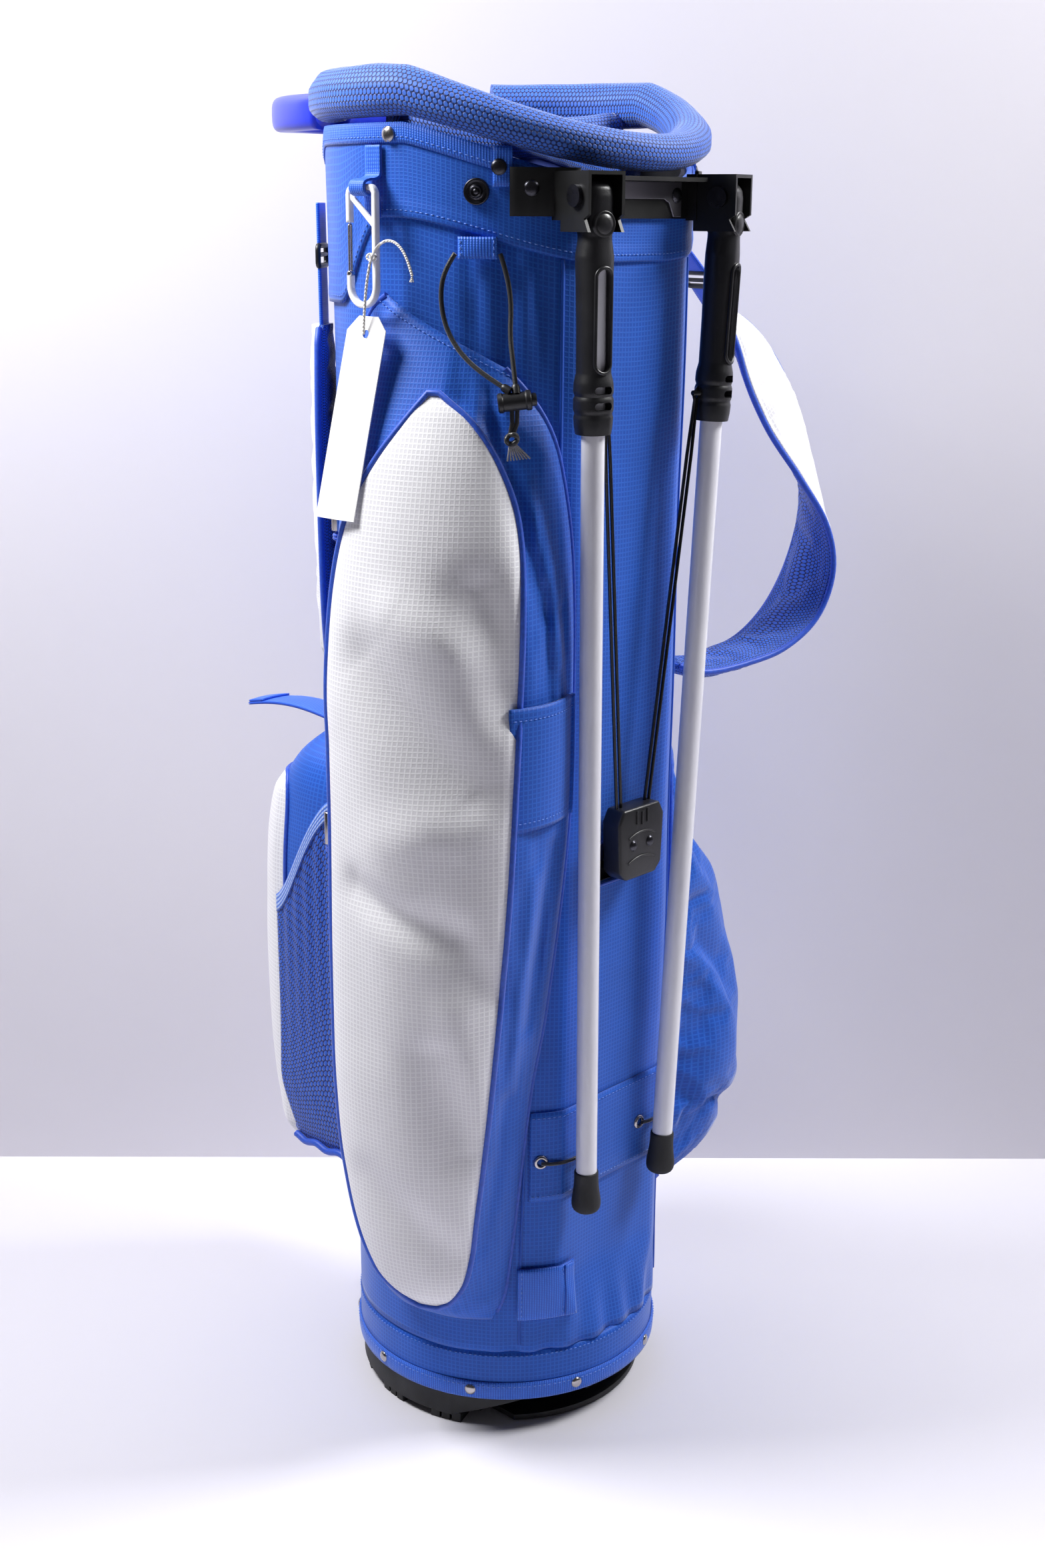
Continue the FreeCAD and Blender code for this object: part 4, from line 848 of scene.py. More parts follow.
for name, sign in (("left", -1), ("right", 1)):
    body = "leg_" + name
    hinge, low_end = Vector((HINGE.x * sign, HINGE.y, HINGE.z)), Vector((TUBE_LOW.x * sign, TUBE_LOW.y, TUBE_LOW.z))
    pin = Vector((-math.cos(SPLAY), -sign * math.sin(SPLAY), 0))
    down = (low_end - hinge).normalized()
    across = (pin - down * pin.dot(down)).normalized()
    out = across.cross(down).normalized()
    out = out if out.y < 0 else -out

    def head_place(u, v):
        s = -0.0094 + 0.1384 * v
        wide, deep = size_at(HEAD_SIZES, s)
        a = 2 * math.pi * u
        cos, sin = math.cos(a), math.sin(a)
        flat = 0.86 if s > 0.02 else 0.75
        return (hinge + down * s + across * (wide * math.copysign(abs(cos) ** flat, cos))
                + out * (deep * math.copysign(abs(sin) ** flat, sin)))

    head = close_ends(drape("leg_head_shell_" + name, 44, 130, (0.06, 0.14), head_place, close=True))
    cutters = []
    for start, end, half in ((0.038, 0.094, 0.0046), (0.1018, 0.1062, 0.0058), (0.1106, 0.1150, 0.0058)):
        bm = bmesh.new()
        bmesh.ops.create_circle(bm, cap_ends=True, segments=28, radius=1.0)
        corner = min(half, (end - start) / 2)
        for vert in bm.verts:
            x, y = vert.co.x * corner, vert.co.y * corner
            x += math.copysign(half - corner, x)
            y += math.copysign((end - start) / 2 - corner, y)
            vert.co = hinge + down * ((start + end) / 2 + y) + across * x + out * 0.0040
        push(bm, bm.faces[:], out * 0.02)
        bmesh.ops.recalc_face_normals(bm, faces=bm.faces)
        cutter = own_object("cutter", bm)
        cut = head.modifiers.new("window", "BOOLEAN")
        cut.operation, cut.solver, cut.object = "DIFFERENCE", "EXACT", cutter
        cutters.append(cutter)
    applied(head)
    for cutter in cutters:
        bpy.data.objects.remove(cutter)
    sew_on(sharpen(head), head_nylon, "black_plastic", "leg_head_" + name, body=body)

    bore = drape("tube_in_window_" + name, 28, 2, (0.04, 0.1), lambda u, v: (
        hinge + down * (0.031 + 0.097 * v) + across * (0.0068 * math.cos(2 * math.pi * u))
        + out * (0.0068 * math.sin(2 * math.pi * u))), close=True)
    sew_on(bore, tube_white, "white_tube", body=body)

    lip = []
    for k in range(40):
        a = 2 * math.pi * k / 40
        x, y = 0.0052 * math.cos(a), 0.0052 * math.sin(a) + math.copysign(0.0234, math.sin(a))
        wide, deep = size_at(HEAD_SIZES, 0.066 + y)
        bulge = deep * (1 - min(1.0, abs(x) / wide) ** 2.3) ** 0.43
        lip.append(hinge + down * (0.066 + y) + across * x + out * (bulge + 0.0002))
    sew_on(tube_along("window_lip_" + name, lip, 0.0022, cyclic=True), head_nylon, "black_plastic", body=body)

    bm = bmesh.new()
    lathe(bm, [(0.0001, 0.0016), (0.0030, 0.0014), (0.0052, 0.0007), (0.0058, 0.0001), (0.0064, 0.0007),
               (0.0071, 0.0004), (0.0074, -0.0012)], hinge + down * 0.0145 + out * 0.0092, out, 28)
    sew_on(shaped("head_button_" + name, bm), head_nylon, "black_plastic", body=body)

    eye = hinge + down * 0.112 + Vector((-sign * 0.0135, 0.002, 0))
    inward = Vector((-sign, 0, 0))
    bm = bmesh.new()
    lathe(bm, [(0.0001, 0.0064), (0.0016, 0.0064), (0.0017, 0.0000), (0.0036, -0.0002), (0.0038, -0.0080)],
          eye - inward * 0.0028, inward, 20)
    sew_on(shaped("rod_pivot_" + name, bm), head_nylon, "black_plastic", body=body)

    # the foot: a ribbed rubber tip that widens to a bulb, pushed over the tube's end
    bm = bmesh.new()
    lathe(bm, [(0.0068, -0.0020), (0.0077, -0.0020), (0.0079, -0.0010), (0.0078, 0.0040), (0.0081, 0.0090),
               (0.0089, 0.0150), (0.0097, 0.0200), (0.0094, 0.0238), (0.0076, 0.0262), (0.0040, 0.0272),
               (0.0001, 0.0273)], low_end, down, 32)
    tip = shaped("leg_tip_" + name, bm)
    smooth = tip.modifiers.new("smooth", "SUBSURF")
    smooth.levels = smooth.render_levels = 1
    sew_on(tip, leg_rubber, "base_rubber", "leg_foot_" + name, body=body)

    # the push rod: spring wire doubled back on itself, with an eye at the leg
    rod_end = Vector((sign * 0.0117, -0.1055, 0.411))
    along = (rod_end - eye).normalized()
    beside = along.cross(Vector((0, 1, 0))).normalized()
    legs_of_wire = []
    for k in range(25):
        legs_of_wire.append(eye + along * (0.004 + (rod_end - eye).length * k / 24 * 0.985)
                            + beside * (0.0010 + 0.0010 * between(k, 0, 3)))
    wire = legs_of_wire + [rod_end + beside * 0.0012 - along * 0.0006, rod_end - beside * 0.0012 - along * 0.0006]
    wire += [p - beside * 2 * (p - eye - along * (p - eye).dot(along)).dot(beside) for p in reversed(legs_of_wire)]
    wire += [eye - beside * 0.0028 + along * 0.0012] + [eye - along * 0.0030] + [eye + beside * 0.0028 + along * 0.0012]
    sew_on(tube_along("push_rod_" + name, wire, 0.0022, cyclic=True), wire_black, "black_wire", "rod_" + name,
           body="rod_" + name)


# ---- push rod clamp -----------------------------------------------------------------------------
# Both rods end in one black nylon clamp, two halves riveted together, with three grip ribs at the
# top and a curved rib above and below the rivets.
CLAMP_FRONT = -0.1140
outline = [(-0.0200, 0.3870), (-0.0140, 0.3810), (0.0140, 0.3810), (0.0200, 0.3870), (0.0215, 0.4190),
           (0.0170, 0.4270), (-0.0170, 0.4270), (-0.0215, 0.4190)]
bm = bmesh.new()
back_face = bm.faces.new([bm.verts.new((x, -0.0994, z)) for x, z in outline])
push(bm, [back_face], (0, -0.0146, 0))
bmesh.ops.recalc_face_normals(bm, faces=bm.faces)
bmesh.ops.bevel(bm, geom=bm.edges[:], offset=0.0018, affect="EDGES", segments=4, profile=0.5, material=-1)
clamp = sharpen(own_object("rod_clamp", bm), 50)
sew_on(clamp, head_nylon, "black_plastic", "actuator_clamp", body="actuator")
spots = [(Vector((x, CLAMP_FRONT, 0.403)), Vector((0, -1, 0))) for x in (-0.008, 0.008)]
sew_on(dome_heads("clamp_studs", spots, 0.0033, 0.0018), gunmetal, "gunmetal", body="actuator")
for k, (x, low) in enumerate(((-0.005, 0.4165), (0, 0.4155), (0.005, 0.4165))):
    rib = [Vector((x, CLAMP_FRONT - 0.0001, low + 0.0085 * t / 6)) for t in range(7)]
    sew_on(tube_along("clamp_grip_" + str(k), rib, 0.0017), head_nylon, "black_plastic", body="actuator")
for name, middle, bend in (("upper", 0.4110, -1), ("lower", 0.3950, -1)):
    rib = [Vector((0.0125 * t / 8, CLAMP_FRONT - 0.0001, middle + bend * 0.0030 * (t / 8) ** 2))
           for t in range(-8, 9)]
    sew_on(tube_along("clamp_rib_" + name, rib, 0.0015), head_nylon, "black_plastic", body="actuator")


# ---- leg band, eyelets and elastics -------------------------------------------------------------
# A sewn-on band of ripstop across the leg side with a plated eyelet each side of each leg; a black
# elastic loop through each pair holds the leg to the bag.  A webbing loop below takes a cart strap.
def patch(name, first, last, low, high, off, across=40, up=12, puff=0.0):
    """A piece of cloth laid on the bag's wall between two turns and two heights."""
    def place(u, v):
        turn, z = first + (last - first) * u, low + (high - low) * v
        lift = off + puff * math.sin(math.pi * u) * math.sin(math.pi * v)
        return on_bag(turn, skin_radius(turn, z, lift + 0.0003 * noise.noise(Vector((turn / 9, z * 30, off)))), z)
    return drape(name, across, up, (abs(last - first) * 0.00185, high - low), place)


sew_on(thicken(patch("leg_band_cloth", -39, 39, 0.169, 0.231, 0.0018, 78, 14), 0.0012), blue_ripstop,
       "blue_ripstop", "leg_band")
for name, z in (("upper", 0.2275), ("lower", 0.1725)):
    stitch("leg_band_stitches_" + name, along_skin(lambda t: -38.5 + 77 * t, lambda t: z, 0.0022))
bm = bmesh.new()
for turn in (-35, -16.5, 16.5, 35):
    facing = Vector((0, -1, 0)) if abs(turn) < 27 else on_bag(turn, 1, 0)
    lathe(bm, [(0.0023, 0.0), (0.0024, 0.0012), (0.0030, 0.0018), (0.0040, 0.0016), (0.0047, 0.0008),
               (0.0049, 0.0001)], on_bag(turn, skin_radius(abs(turn), 0.197, 0.0018), 0.197), facing, 28)
sew_on(thicken(shaped("leg_band_rings", bm), 0.0004), nickel, "nickel", "band_eyelets")

# Rubber cord in a tight polyester braid, slightly shiny.
elastic_black = mottled("black covered elastic", "#101013", 0.38, 1500.0, bump=(0.35, 0.0003), cells=True,
                        Sheen_Weight=0.3)


def soft_cord(name, points, diameter, finish, slot, node, body="bag"):
    """A cord on one smooth curve through the air, shaped by a few points of its route."""
    line = bpy.data.curves.new(name, "CURVE")
    line.dimensions = "3D"
    line.bevel_depth, line.bevel_resolution, line.use_fill_caps = diameter / 2, 4, True
    spline = line.splines.new("NURBS")
    spline.points.add(len(points) - 1)
    for point, at in zip(spline.points, points):
        point.co = (*at, 1)
    spline.order_u = 3
    spline.use_endpoint_u = True
    spline.resolution_u = 16
    piece = bpy.data.objects.new(name, line)
    scene.collection.objects.link(piece)
    return sew_on(piece, finish, slot, node, body=body)


for name, sign in (("left", -1), ("right", 1)):
    first, second = [on_bag(sign * turn, skin_radius(turn, 0.197, 0.0045), 0.197) for turn in (16.5, 35)]
    elastic = soft_cord("leg_elastic_loop_" + name, [first, Vector((sign * 0.0465, -0.0982, 0.1935)), second],
                        0.0024, elastic_black, "black_elastic", "leg_elastic_" + name)

sew_on(thicken(patch("cart_loop_webbing", -43, -21, 0.084, 0.121, 0.0033, 24, 12, puff=0.0012), 0.0014),
       blue_webbing, "blue_webbing", "cart_strap_loop")
sew_on(thicken(patch("cart_loop_fold", -25.5, -21.2, 0.0845, 0.1205, 0.0046, 6, 12, puff=0.0004), 0.0012),
       blue_webbing, "blue_webbing")
for name, turn in (("left", -41.5), ("right", -26.4)):
    stitch("cart_loop_stitches_" + name, along_skin(lambda t: turn, lambda t: 0.086 + 0.033 * t, 0.0037))


# ---- big side pocket ----------------------------------------------------------------------------
# The long clothing pocket on the left: a blue gusset swelling from the wall, and a white ripstop
# face piped in blue.  A pen sleeve is sewn round the gusset's front.
def row_at(rows, at):
    """A row of a size table at any height, on a smooth curve through its rows."""
    last = len(rows) - 1
    k = next((i for i in range(last) if at <= rows[i + 1][0]), last - 1)
    low, high = rows[k], rows[k + 1]
    before, after = rows[max(0, k - 1)], rows[min(last, k + 2)]
    step = high[0] - low[0]
    t = min(1.0, max(0.0, (at - low[0]) / step))
    values = []
    for column in range(1, len(low)):
        start = (high[column] - before[column]) / (high[0] - before[0]) * step
        end = (after[column] - low[column]) / (after[0] - low[0]) * step
        values.append((2 * t ** 3 - 3 * t ** 2 + 1) * low[column] + (t ** 3 - 2 * t ** 2 + t) * start
                      + (3 * t ** 2 - 2 * t ** 3) * high[column] + (t ** 3 - t ** 2) * end)
    return values


# height, left and right seam as turns, fullness
BIG_POCKET = ((0.084, -84, -52, 0.003), (0.100, -94, -48, 0.024), (0.130, -102, -45.5, 0.038),
              (0.200, -108, -41.5, 0.048), (0.250, -109, -38.5, 0.052), (0.300, -109.5, -34, 0.054),
              (0.420, -109.5, -27, 0.056), (0.520, -109.5, -26, 0.054), (0.590, -107, -27, 0.046),
              (0.640, -104, -30, 0.034), (0.676, -100, -34, 0.020), (0.702, -94, -41, 0.008),
              (0.714, -87, -48, 0.002))
FACE = ((0.106, -71, -66), (0.112, -74.5, -62), (0.130, -83, -57.5), (0.178, -90.5, -54.5), (0.250, -93.5, -51),
        (0.365, -95, -47), (0.462, -94.5, -45), (0.562, -92.5, -43.6), (0.612, -86.8, -44.6), (0.645, -79.0, -49.6),
        (0.667, -72.5, -56.0), (0.682, -67.5, -64.6))
# soft dents and ridges, each from one turn and height to another, with its half width and depth
DENTS = ((-78.3, 0.529, -54.9, 0.458, 0.019, -0.0078), (-53.4, 0.572, -47.0, 0.507, 0.015, -0.0070),
         (-70.0, 0.560, -52.0, 0.535, 0.016, 0.0040), (-81.5, 0.391, -60.0, 0.368, 0.012, -0.0060),
         (-72.0, 0.425, -56.0, 0.440, 0.018, 0.0036), (-62.8, 0.287, -57.6, 0.225, 0.015, -0.0066),
         (-58.0, 0.320, -53.0, 0.220, 0.012, 0.0034), (-88.0, 0.470, -80.0, 0.300, 0.022, -0.0026),
         (-80.0, 0.200, -62.0, 0.150, 0.014, -0.0036), (-62.0, 0.385, -50.0, 0.330, 0.012, -0.0034),
         (-52.5, 0.690, -38.0, 0.560, 0.008, -0.0048),
         (-42.0, 0.640, -33.0, 0.530, 0.007, 0.0030), (-34.0, 0.415, -41.0, 0.300, 0.006, -0.0034),
         (-39.5, 0.400, -46.0, 0.260, 0.005, 0.0024), (-47.0, 0.250, -54.0, 0.150, 0.007, -0.0030),
         (-32.0, 0.560, -29.0, 0.500, 0.004, -0.0022), (-37.5, 0.575, -36.0, 0.505, 0.004, -0.0020))


def dented(turn, z, rows):
    """How far soft dents move the cloth at a place."""
    total = 0.0
    for turn_a, z_a, turn_b, z_b, half, depth in rows:
        ax, az = math.radians(turn_a) * 0.15, z_a
        dx, dz = math.radians(turn_b) * 0.15 - ax, z_b - az
        px, pz = math.radians(turn) * 0.15 - ax, z - az
        t = min(1.0, max(0.0, (px * dx + pz * dz) / (dx * dx + dz * dz)))
        gap = math.hypot(px - dx * t, pz - dz * t)
        if gap < half * 3:
            total += depth * (0.60 + 0.72 * math.sin(math.pi * (0.12 + 0.76 * t))) * math.exp(-(gap / half) ** 2)
    return total


def pocket_off(rows, turn, z):
    left, right, full = row_at(rows, z)
    share = min(1.0, abs((2 * turn - left - right) / (right - left)))
    return 0.0017 + full * (1 - share ** 2.2) ** 0.9


def big_pocket_skin(turn, z):
    """Distance of the big pocket's cloth from the bag's axis."""
    off = pocket_off(BIG_POCKET, turn, z)
    slack = min(1.0, off / 0.02)
    _, face_right = row_at(FACE, min(0.682, max(0.106, z)))
    gusset = between(turn, face_right - 1, face_right + 3)
    crumple = 0.0016 * noise.noise(Vector((turn / 5.0, z * 17, 4.0))) * gusset
    crumple += 0.0008 * noise.noise(Vector((turn / 2.0, z * 40, 9.0))) * gusset
    crumple += 0.0009 * noise.noise(Vector((turn / 16, z * 9, 6.0)))
    hollow = -0.0035 * gusset * math.sin(math.pi * min(1.0, max(0.0, (turn - face_right) / 16)))
    return skin_radius(turn, z, off + slack * (dented(turn, z, DENTS) + crumple + hollow))


def big_pocket_place(u, v):
    z = 0.084 + 0.630 * v
    left, right, _ = row_at(BIG_POCKET, z)
    turn = (left + right) / 2 + (right - left) / 2 * math.sin(math.pi * (u - 0.5))
    slant = -0.0010 * (turn + 67.5) * v ** 10
    return on_bag(turn, big_pocket_skin(turn, z), z + slant)


def cut_to_measure(piece, radius=0.155):
    """Gives the cloth's own coordinates in metres round the bag and up it, so the weave stays even."""
    cloth = piece.data.uv_layers["cloth"].data
    for loop in piece.data.loops:
        co = piece.data.vertices[loop.vertex_index].co
        cloth[loop.index].uv = (math.atan2(co.x, -co.y) * radius, co.z)
    return piece


gusset_cloth = cut_to_measure(drape("big_pocket_gusset", 150, 190, (0.2, 0.63), big_pocket_place))
sew_on(thicken(gusset_cloth, 0.0012), blue_ripstop, "blue_ripstop", "apparel_pocket")


def pocket_top_path(t):
    at = big_pocket_place(0.02 + 0.96 * t, 0.993)
    out = Vector((at.x, at.y, 0)).normalized()
    return at + out * 0.0006, out


stitch("big_pocket_top_stitches", pocket_top_path)
for name, side in (("left", 0.0), ("right", 1.0)):
    seam = [big_pocket_place(side, 0.01 + 0.99 * k / 90) for k in range(91)]
    sew_on(tube_along("big_pocket_seam_" + name, seam, 0.0030), piping_finish, "blue_ripstop")

white_ripstop = ripstop("white grid ripstop", "#DEDDE2", "#F0F0F3", 0.5, cell=0.0029, relief=0.22, patchy=0.02)
FACE_LOW, FACE_HIGH = 0.1062, 0.6818


def face_place(u, v):
    z = FACE_LOW + (FACE_HIGH - FACE_LOW) * v
    left, right = row_at(FACE, z)
    turn = left + (right - left) * u
    inset = min(1.0, min(u, 1 - u) / 0.05) * min(1.0, min(v, 1 - v) / 0.02)
    return on_bag(turn, big_pocket_skin(turn, z) + 0.0022 + 0.0018 * ease(inset), z)


face_cloth = cut_to_measure(drape("big_pocket_face", 90, 190, (0.1, 0.57), face_place))
sew_on(thicken(face_cloth, 0.0014), white_ripstop, "white_ripstop", "apparel_panel")
heights = [FACE_LOW + (FACE_HIGH - FACE_LOW) * k / 119 for k in range(120)]
edge = [(row_at(FACE, z)[1], z) for z in heights] + [(row_at(FACE, z)[0], z) for z in reversed(heights)]
piping = [on_bag(turn, big_pocket_skin(turn, z) + 0.0030, z) for turn, z in edge]
sew_on(tube_along("big_pocket_piping", piping, 0.0036, cyclic=True), piping_finish, "blue_ripstop")


def sleeve_place(u, v):
    turn, z = -46.5 + 19.5 * u, 0.4315 + 0.0745 * v
    puff = 0.0016 * math.sin(math.pi * u) * (0.5 + 0.5 * v)
    return on_bag(turn, skin_radius(turn, z, pocket_off(BIG_POCKET, min(turn, -28.2), z) + 0.0006 + puff), z)


sleeve = cut_to_measure(drape("pen_sleeve", 40, 30, (0.05, 0.075), sleeve_place))
sew_on(thicken(sleeve, 0.0022), blue_ripstop, "blue_ripstop")
for name, z in (("upper", 0.4990), ("lower", 0.4370)):
    def sleeve_stitch_path(t):
        at = sleeve_place(0.03 + 0.94 * t, (z - 0.4315) / 0.0745)
        out = Vector((at.x, at.y, 0)).normalized()
        return at + out * 0.0003, out
    stitch("pen_sleeve_stitches_" + name, sleeve_stitch_path, samples=200)


# ---- pocket on the right, and zips --------------------------------------------------------------
# A shorter full pocket of blue ripstop on the other side; each pocket closes with a coil zip on a
# woven tape.
RIGHT_POCKET = ((0.122, 54, 90, 0.003), (0.134, 46, 98, 0.034), (0.160, 42, 102, 0.062),
                (0.200, 40.5, 103.5, 0.073), (0.250, 39.5, 104.5, 0.069), (0.320, 40, 104, 0.050),
                (0.380, 44, 100, 0.029), (0.430, 50, 94, 0.011), (0.452, 57, 87, 0.002))
RIGHT_DENTS = ((48, 0.330, 62, 0.210, 0.012, -0.0045), (60, 0.360, 80, 0.250, 0.012, 0.0030),
               (72, 0.230, 90, 0.170, 0.014, -0.0040), (55, 0.180, 75, 0.150, 0.010, -0.0030),
               (85, 0.360, 95, 0.240, 0.010, -0.0030), (50, 0.400, 58, 0.330, 0.008, -0.0026))


def right_pocket_place(u, v):
    z = 0.122 + 0.330 * v
    left, right, _ = row_at(RIGHT_POCKET, z)
    turn = (left + right) / 2 + (right - left) / 2 * math.sin(math.pi * (u - 0.5))
    off = pocket_off(RIGHT_POCKET, turn, z)
    slack = min(1.0, off / 0.02)
    crumple = 0.0018 * noise.noise(Vector((turn / 7, z * 16, 14.0))) + 0.0008 * noise.noise(
        Vector((turn / 3, z * 40, 19.0)))
    return on_bag(turn, skin_radius(turn, z, off + slack * (dented(turn, z, RIGHT_DENTS) + crumple)), z)


def settle(piece, held, pressure, slack, cap, frames=14):
    """Lets cloth find its folds in a short simulation; no point may travel further than the cap."""
    pins = piece.vertex_groups.new(name="held")
    before = [vert.co.copy() for vert in piece.data.vertices]
    pins.add([k for k, co in enumerate(before) if held(co)] or [0], 1.0, "REPLACE")
    soft = piece.modifiers.new("settling", "CLOTH")
    soft.settings.vertex_group_mass = "held"
    soft.settings.quality, soft.settings.mass = 6, 0.12
    soft.settings.tension_stiffness, soft.settings.compression_stiffness = 12, 6
    soft.settings.bending_stiffness = 0.12
    soft.settings.use_pressure, soft.settings.uniform_pressure_force = True, pressure
    soft.settings.shrink_min = -slack
    soft.settings.effector_weights.gravity = 0
    soft.point_cache.frame_start, soft.point_cache.frame_end = 1, frames
    for step in range(1, frames + 1):
        scene.frame_set(step)
    moved = piece.evaluated_get(bpy.context.evaluated_depsgraph_get()).to_mesh()
    after = [vert.co.copy() for vert in moved.vertices]
    piece.modifiers.remove(soft)
    scene.frame_set(1)
    for vert, was, now in zip(piece.data.vertices, before, after):
        travel = now - was
        vert.co = was + travel * min(1.0, cap / max(travel.length, 1e-9))
    return piece


right_cloth = cut_to_measure(drape("right_pocket_cloth", 90, 110, (0.15, 0.33), right_pocket_place))
settle(right_cloth, lambda co: math.hypot(co.x, co.y) < body_radius(co.z) + 0.004, 1.5, 0.035, 0.007)
sew_on(thicken(right_cloth, 0.0012), blue_ripstop, "blue_ripstop", "side_pocket")
for name, side in (("left", 0.0), ("right", 1.0)):
    seam = [right_pocket_place(side, 0.01 + 0.98 * k / 60) for k in range(61)]
    seam = [p + Vector((p.x, p.y, 0)).normalized() * 0.0008 for p in seam]
    sew_on(tube_along("right_pocket_piping_" + name, seam, 0.0032), piping_finish, "blue_ripstop")

zip_teeth = moulded("dark blue nylon zip coil", "#14235E", 0.35)
zips = (("big_pocket", -112, 0.150, 0.690), ("right_pocket", 108, 0.150, 0.440))
for name, turn, low, high in zips:
    tape = patch(name + "_zip_tape", turn - 1.5, turn + 1.5, low, high, 0.0020, 4, 60)
    sew_on(thicken(tape, 0.0011), blue_webbing, "blue_webbing", *(["zip_tapes"] if turn == -112 else []))

    coil = along_skin(lambda t: turn, lambda t: low + (high - low) * t, 0.0024)
    sew_on(stitch_row(name + "_zip_coil", coil, pitch=0.0024, long=0.0018, thick=0.0022, samples=900),
           zip_teeth, "blue_webbing")
ball_tape = drape("ball_pocket_zip_tape", 4, 60, (0.006, 0.28), lambda u, v: Vector((
    -0.0826, 0.074 + 0.006 * u, 0.160 + 0.280 * v)))
sew_on(thicken(ball_tape, 0.0010, offset=1.0), blue_webbing, "blue_webbing")
sew_on(stitch_row("ball_pocket_zip_coil", lambda t: (Vector((-0.0829, 0.077, 0.160 + 0.280 * t)),
                                                     Vector((-1, 0, 0))),
                  pitch=0.0024, long=0.0018, thick=0.0022, samples=500), zip_teeth, "blue_webbing")


def zip_slider(name, at, out, node, body):
    """A die-cast slider: two plates joined by a neck, with a bridge for the pull."""
    side = Vector((-out.y, out.x, 0))
    turned = Matrix((side, out, Vector((0, 0, 1)))).transposed().to_4x4()
    bm = bmesh.new()
    for away, wide, deep, tall in ((0.0006, 0.0086, 0.0011, 0.0115), (0.0018, 0.0050, 0.0016, 0.0060),
                                   (0.0028, 0.0078, 0.0010, 0.0100)):
        bmesh.ops.create_cube(bm, size=1.0, matrix=(Matrix.Translation(at + out * away) @ turned
                                                    @ Matrix.Diagonal((wide, deep, tall, 1))))
    bmesh.ops.bevel(bm, geom=bm.edges[:], offset=0.0005, affect="EDGES", segments=2, profile=0.5, material=-1)
    bmesh.ops.recalc_face_normals(bm, faces=bm.faces)
    sew_on(own_object(name, bm), gunmetal, "gunmetal", node, body=body)
    bridge = [at + out * (0.0030 + 0.0026 * math.sin(math.pi * k / 10)) + Vector((0, 0, 0.0040 - 0.0008 * k))
              for k in range(11)]
    sew_on(tube_along(name + "_bridge", bridge, 0.0014), gunmetal, "gunmetal", body=body)


# Braided nylon: bright plaits, with the sunken gaps between them painted dark as shade.
pull_cord_blue = mottled("royal blue braided cord", "#1A46BE", 0.55, 1100.0, ("#2C66E4", "#0F2F92"),
                         (-0.5, 0.0004), cells=True, Sheen_Weight=0.4)


def cord_pull(name, points, node, body):
    """A doubled cord pull with a crimped metal tube and a knot at its end."""
    pull = soft_cord(name, points, 0.0025, pull_cord_blue, "blue_webbing", node, body=body)
    low, out = points[-1], Vector((points[0].x, points[0].y, 0)).normalized()
    bm = bmesh.new()
    lathe(bm, [(0.0013, 0.0), (0.0030, 0.0), (0.0034, 0.0005), (0.0033, 0.0110), (0.0034, 0.0215), (0.0030, 0.0220),
               (0.0013, 0.0220)], low + Vector((0, 0, 0.0065)), Vector((0, 0, 1)), 24)
    sleeve = sew_on(shaped(name + "_sleeve", bm), nickel, "nickel", body=body)
    turns = []
    for k in range(40):
        a = 2 * math.pi * k / 39 * 2
        turns.append(low + Vector((0.0016 * math.cos(a), 0.0016 * math.sin(a), 0.0045 - 0.0036 * k / 39)))
    knot = sew_on(tube_along(name + "_knot", turns, 0.0026), pull_cord_blue, "blue_webbing", body=body)


for name, turn, z, node, body in (("big_pocket_slider", -112, 0.650, "apparel_zip_slider", "apparel_slider"),
                                  ("right_pocket_slider", 108, 0.400, "side_zip_slider", "side_slider")):
    zip_slider(name, on_bag(turn, body_radius(z) + 0.0024, z), on_bag(turn, 1, 0), node, body)
zip_slider("ball_pocket_slider", Vector((-0.0830, 0.077, 0.428)), Vector((-1, 0, 0)), "ball_zip_slider",
           "ball_slider")
hang = on_bag(-112, body_radius(0.650) + 0.0076, 0.650)
cord_pull("big_pocket_pull", [hang + Vector(p) for p in ((0, 0, -0.0045), (-0.0004, 0.0004, -0.022),
                                                          (0.0006, -0.0004, -0.042), (-0.0002, 0.0002, -0.064))],
          "apparel_zip_cord", "apparel_slider")
hang = Vector((-0.0883, 0.077, 0.428))
cord_pull("ball_pocket_pull", [hang + Vector(p) for p in ((0, 0, -0.0045), (-0.0006, 0.0003, -0.020),
                                                           (0.0005, -0.0003, -0.036), (-0.0003, 0.0002, -0.054))],
          "ball_zip_cord", "ball_slider")


# ---- ball pocket --------------------------------------------------------------------------------
# The boxy pocket at the back: blue ripstop sides with rounded corners, a white padded face, and a
# stretch mesh pocket with a banded elastic top on its left side.
BALL_POCKET = ((0.124, 0.040, 0.1125), (0.130, 0.050, 0.122), (0.142, 0.070, 0.146), (0.165, 0.080, 0.160),
               (0.240, 0.080, 0.170), (0.330, 0.080, 0.170), (0.390, 0.0785, 0.162), (0.425, 0.072, 0.142),
               (0.446, 0.050, 0.120), (0.452, 0.042, 0.1125))


def ball_place(u, v):
    z = 0.124 + 0.328 * v
    wide, reach = row_at(BALL_POCKET, z)
    side_start = math.sqrt((body_radius(z) + 0.0017) ** 2 - wide ** 2)
    a = math.pi * (u - 0.5)
    x = wide * math.copysign(abs(math.sin(a)) ** 0.42, math.sin(a))
    share = abs(math.cos(a)) ** 0.42
    y = side_start + (reach - side_start) * share + 0.004 * math.cos(a) ** 4
    lump = 0.0016 * noise.noise(Vector((x * 30, z * 18, y * 30)))
    fold = 0.0012 * math.sin(z * 120 + x * 60) * between(0.20 - z, 0, 0.06)
    out = Vector((x * 0.6, y - 0.05, 0)).normalized()
    return Vector((x, y, z)) + out * (lump + fold) * share


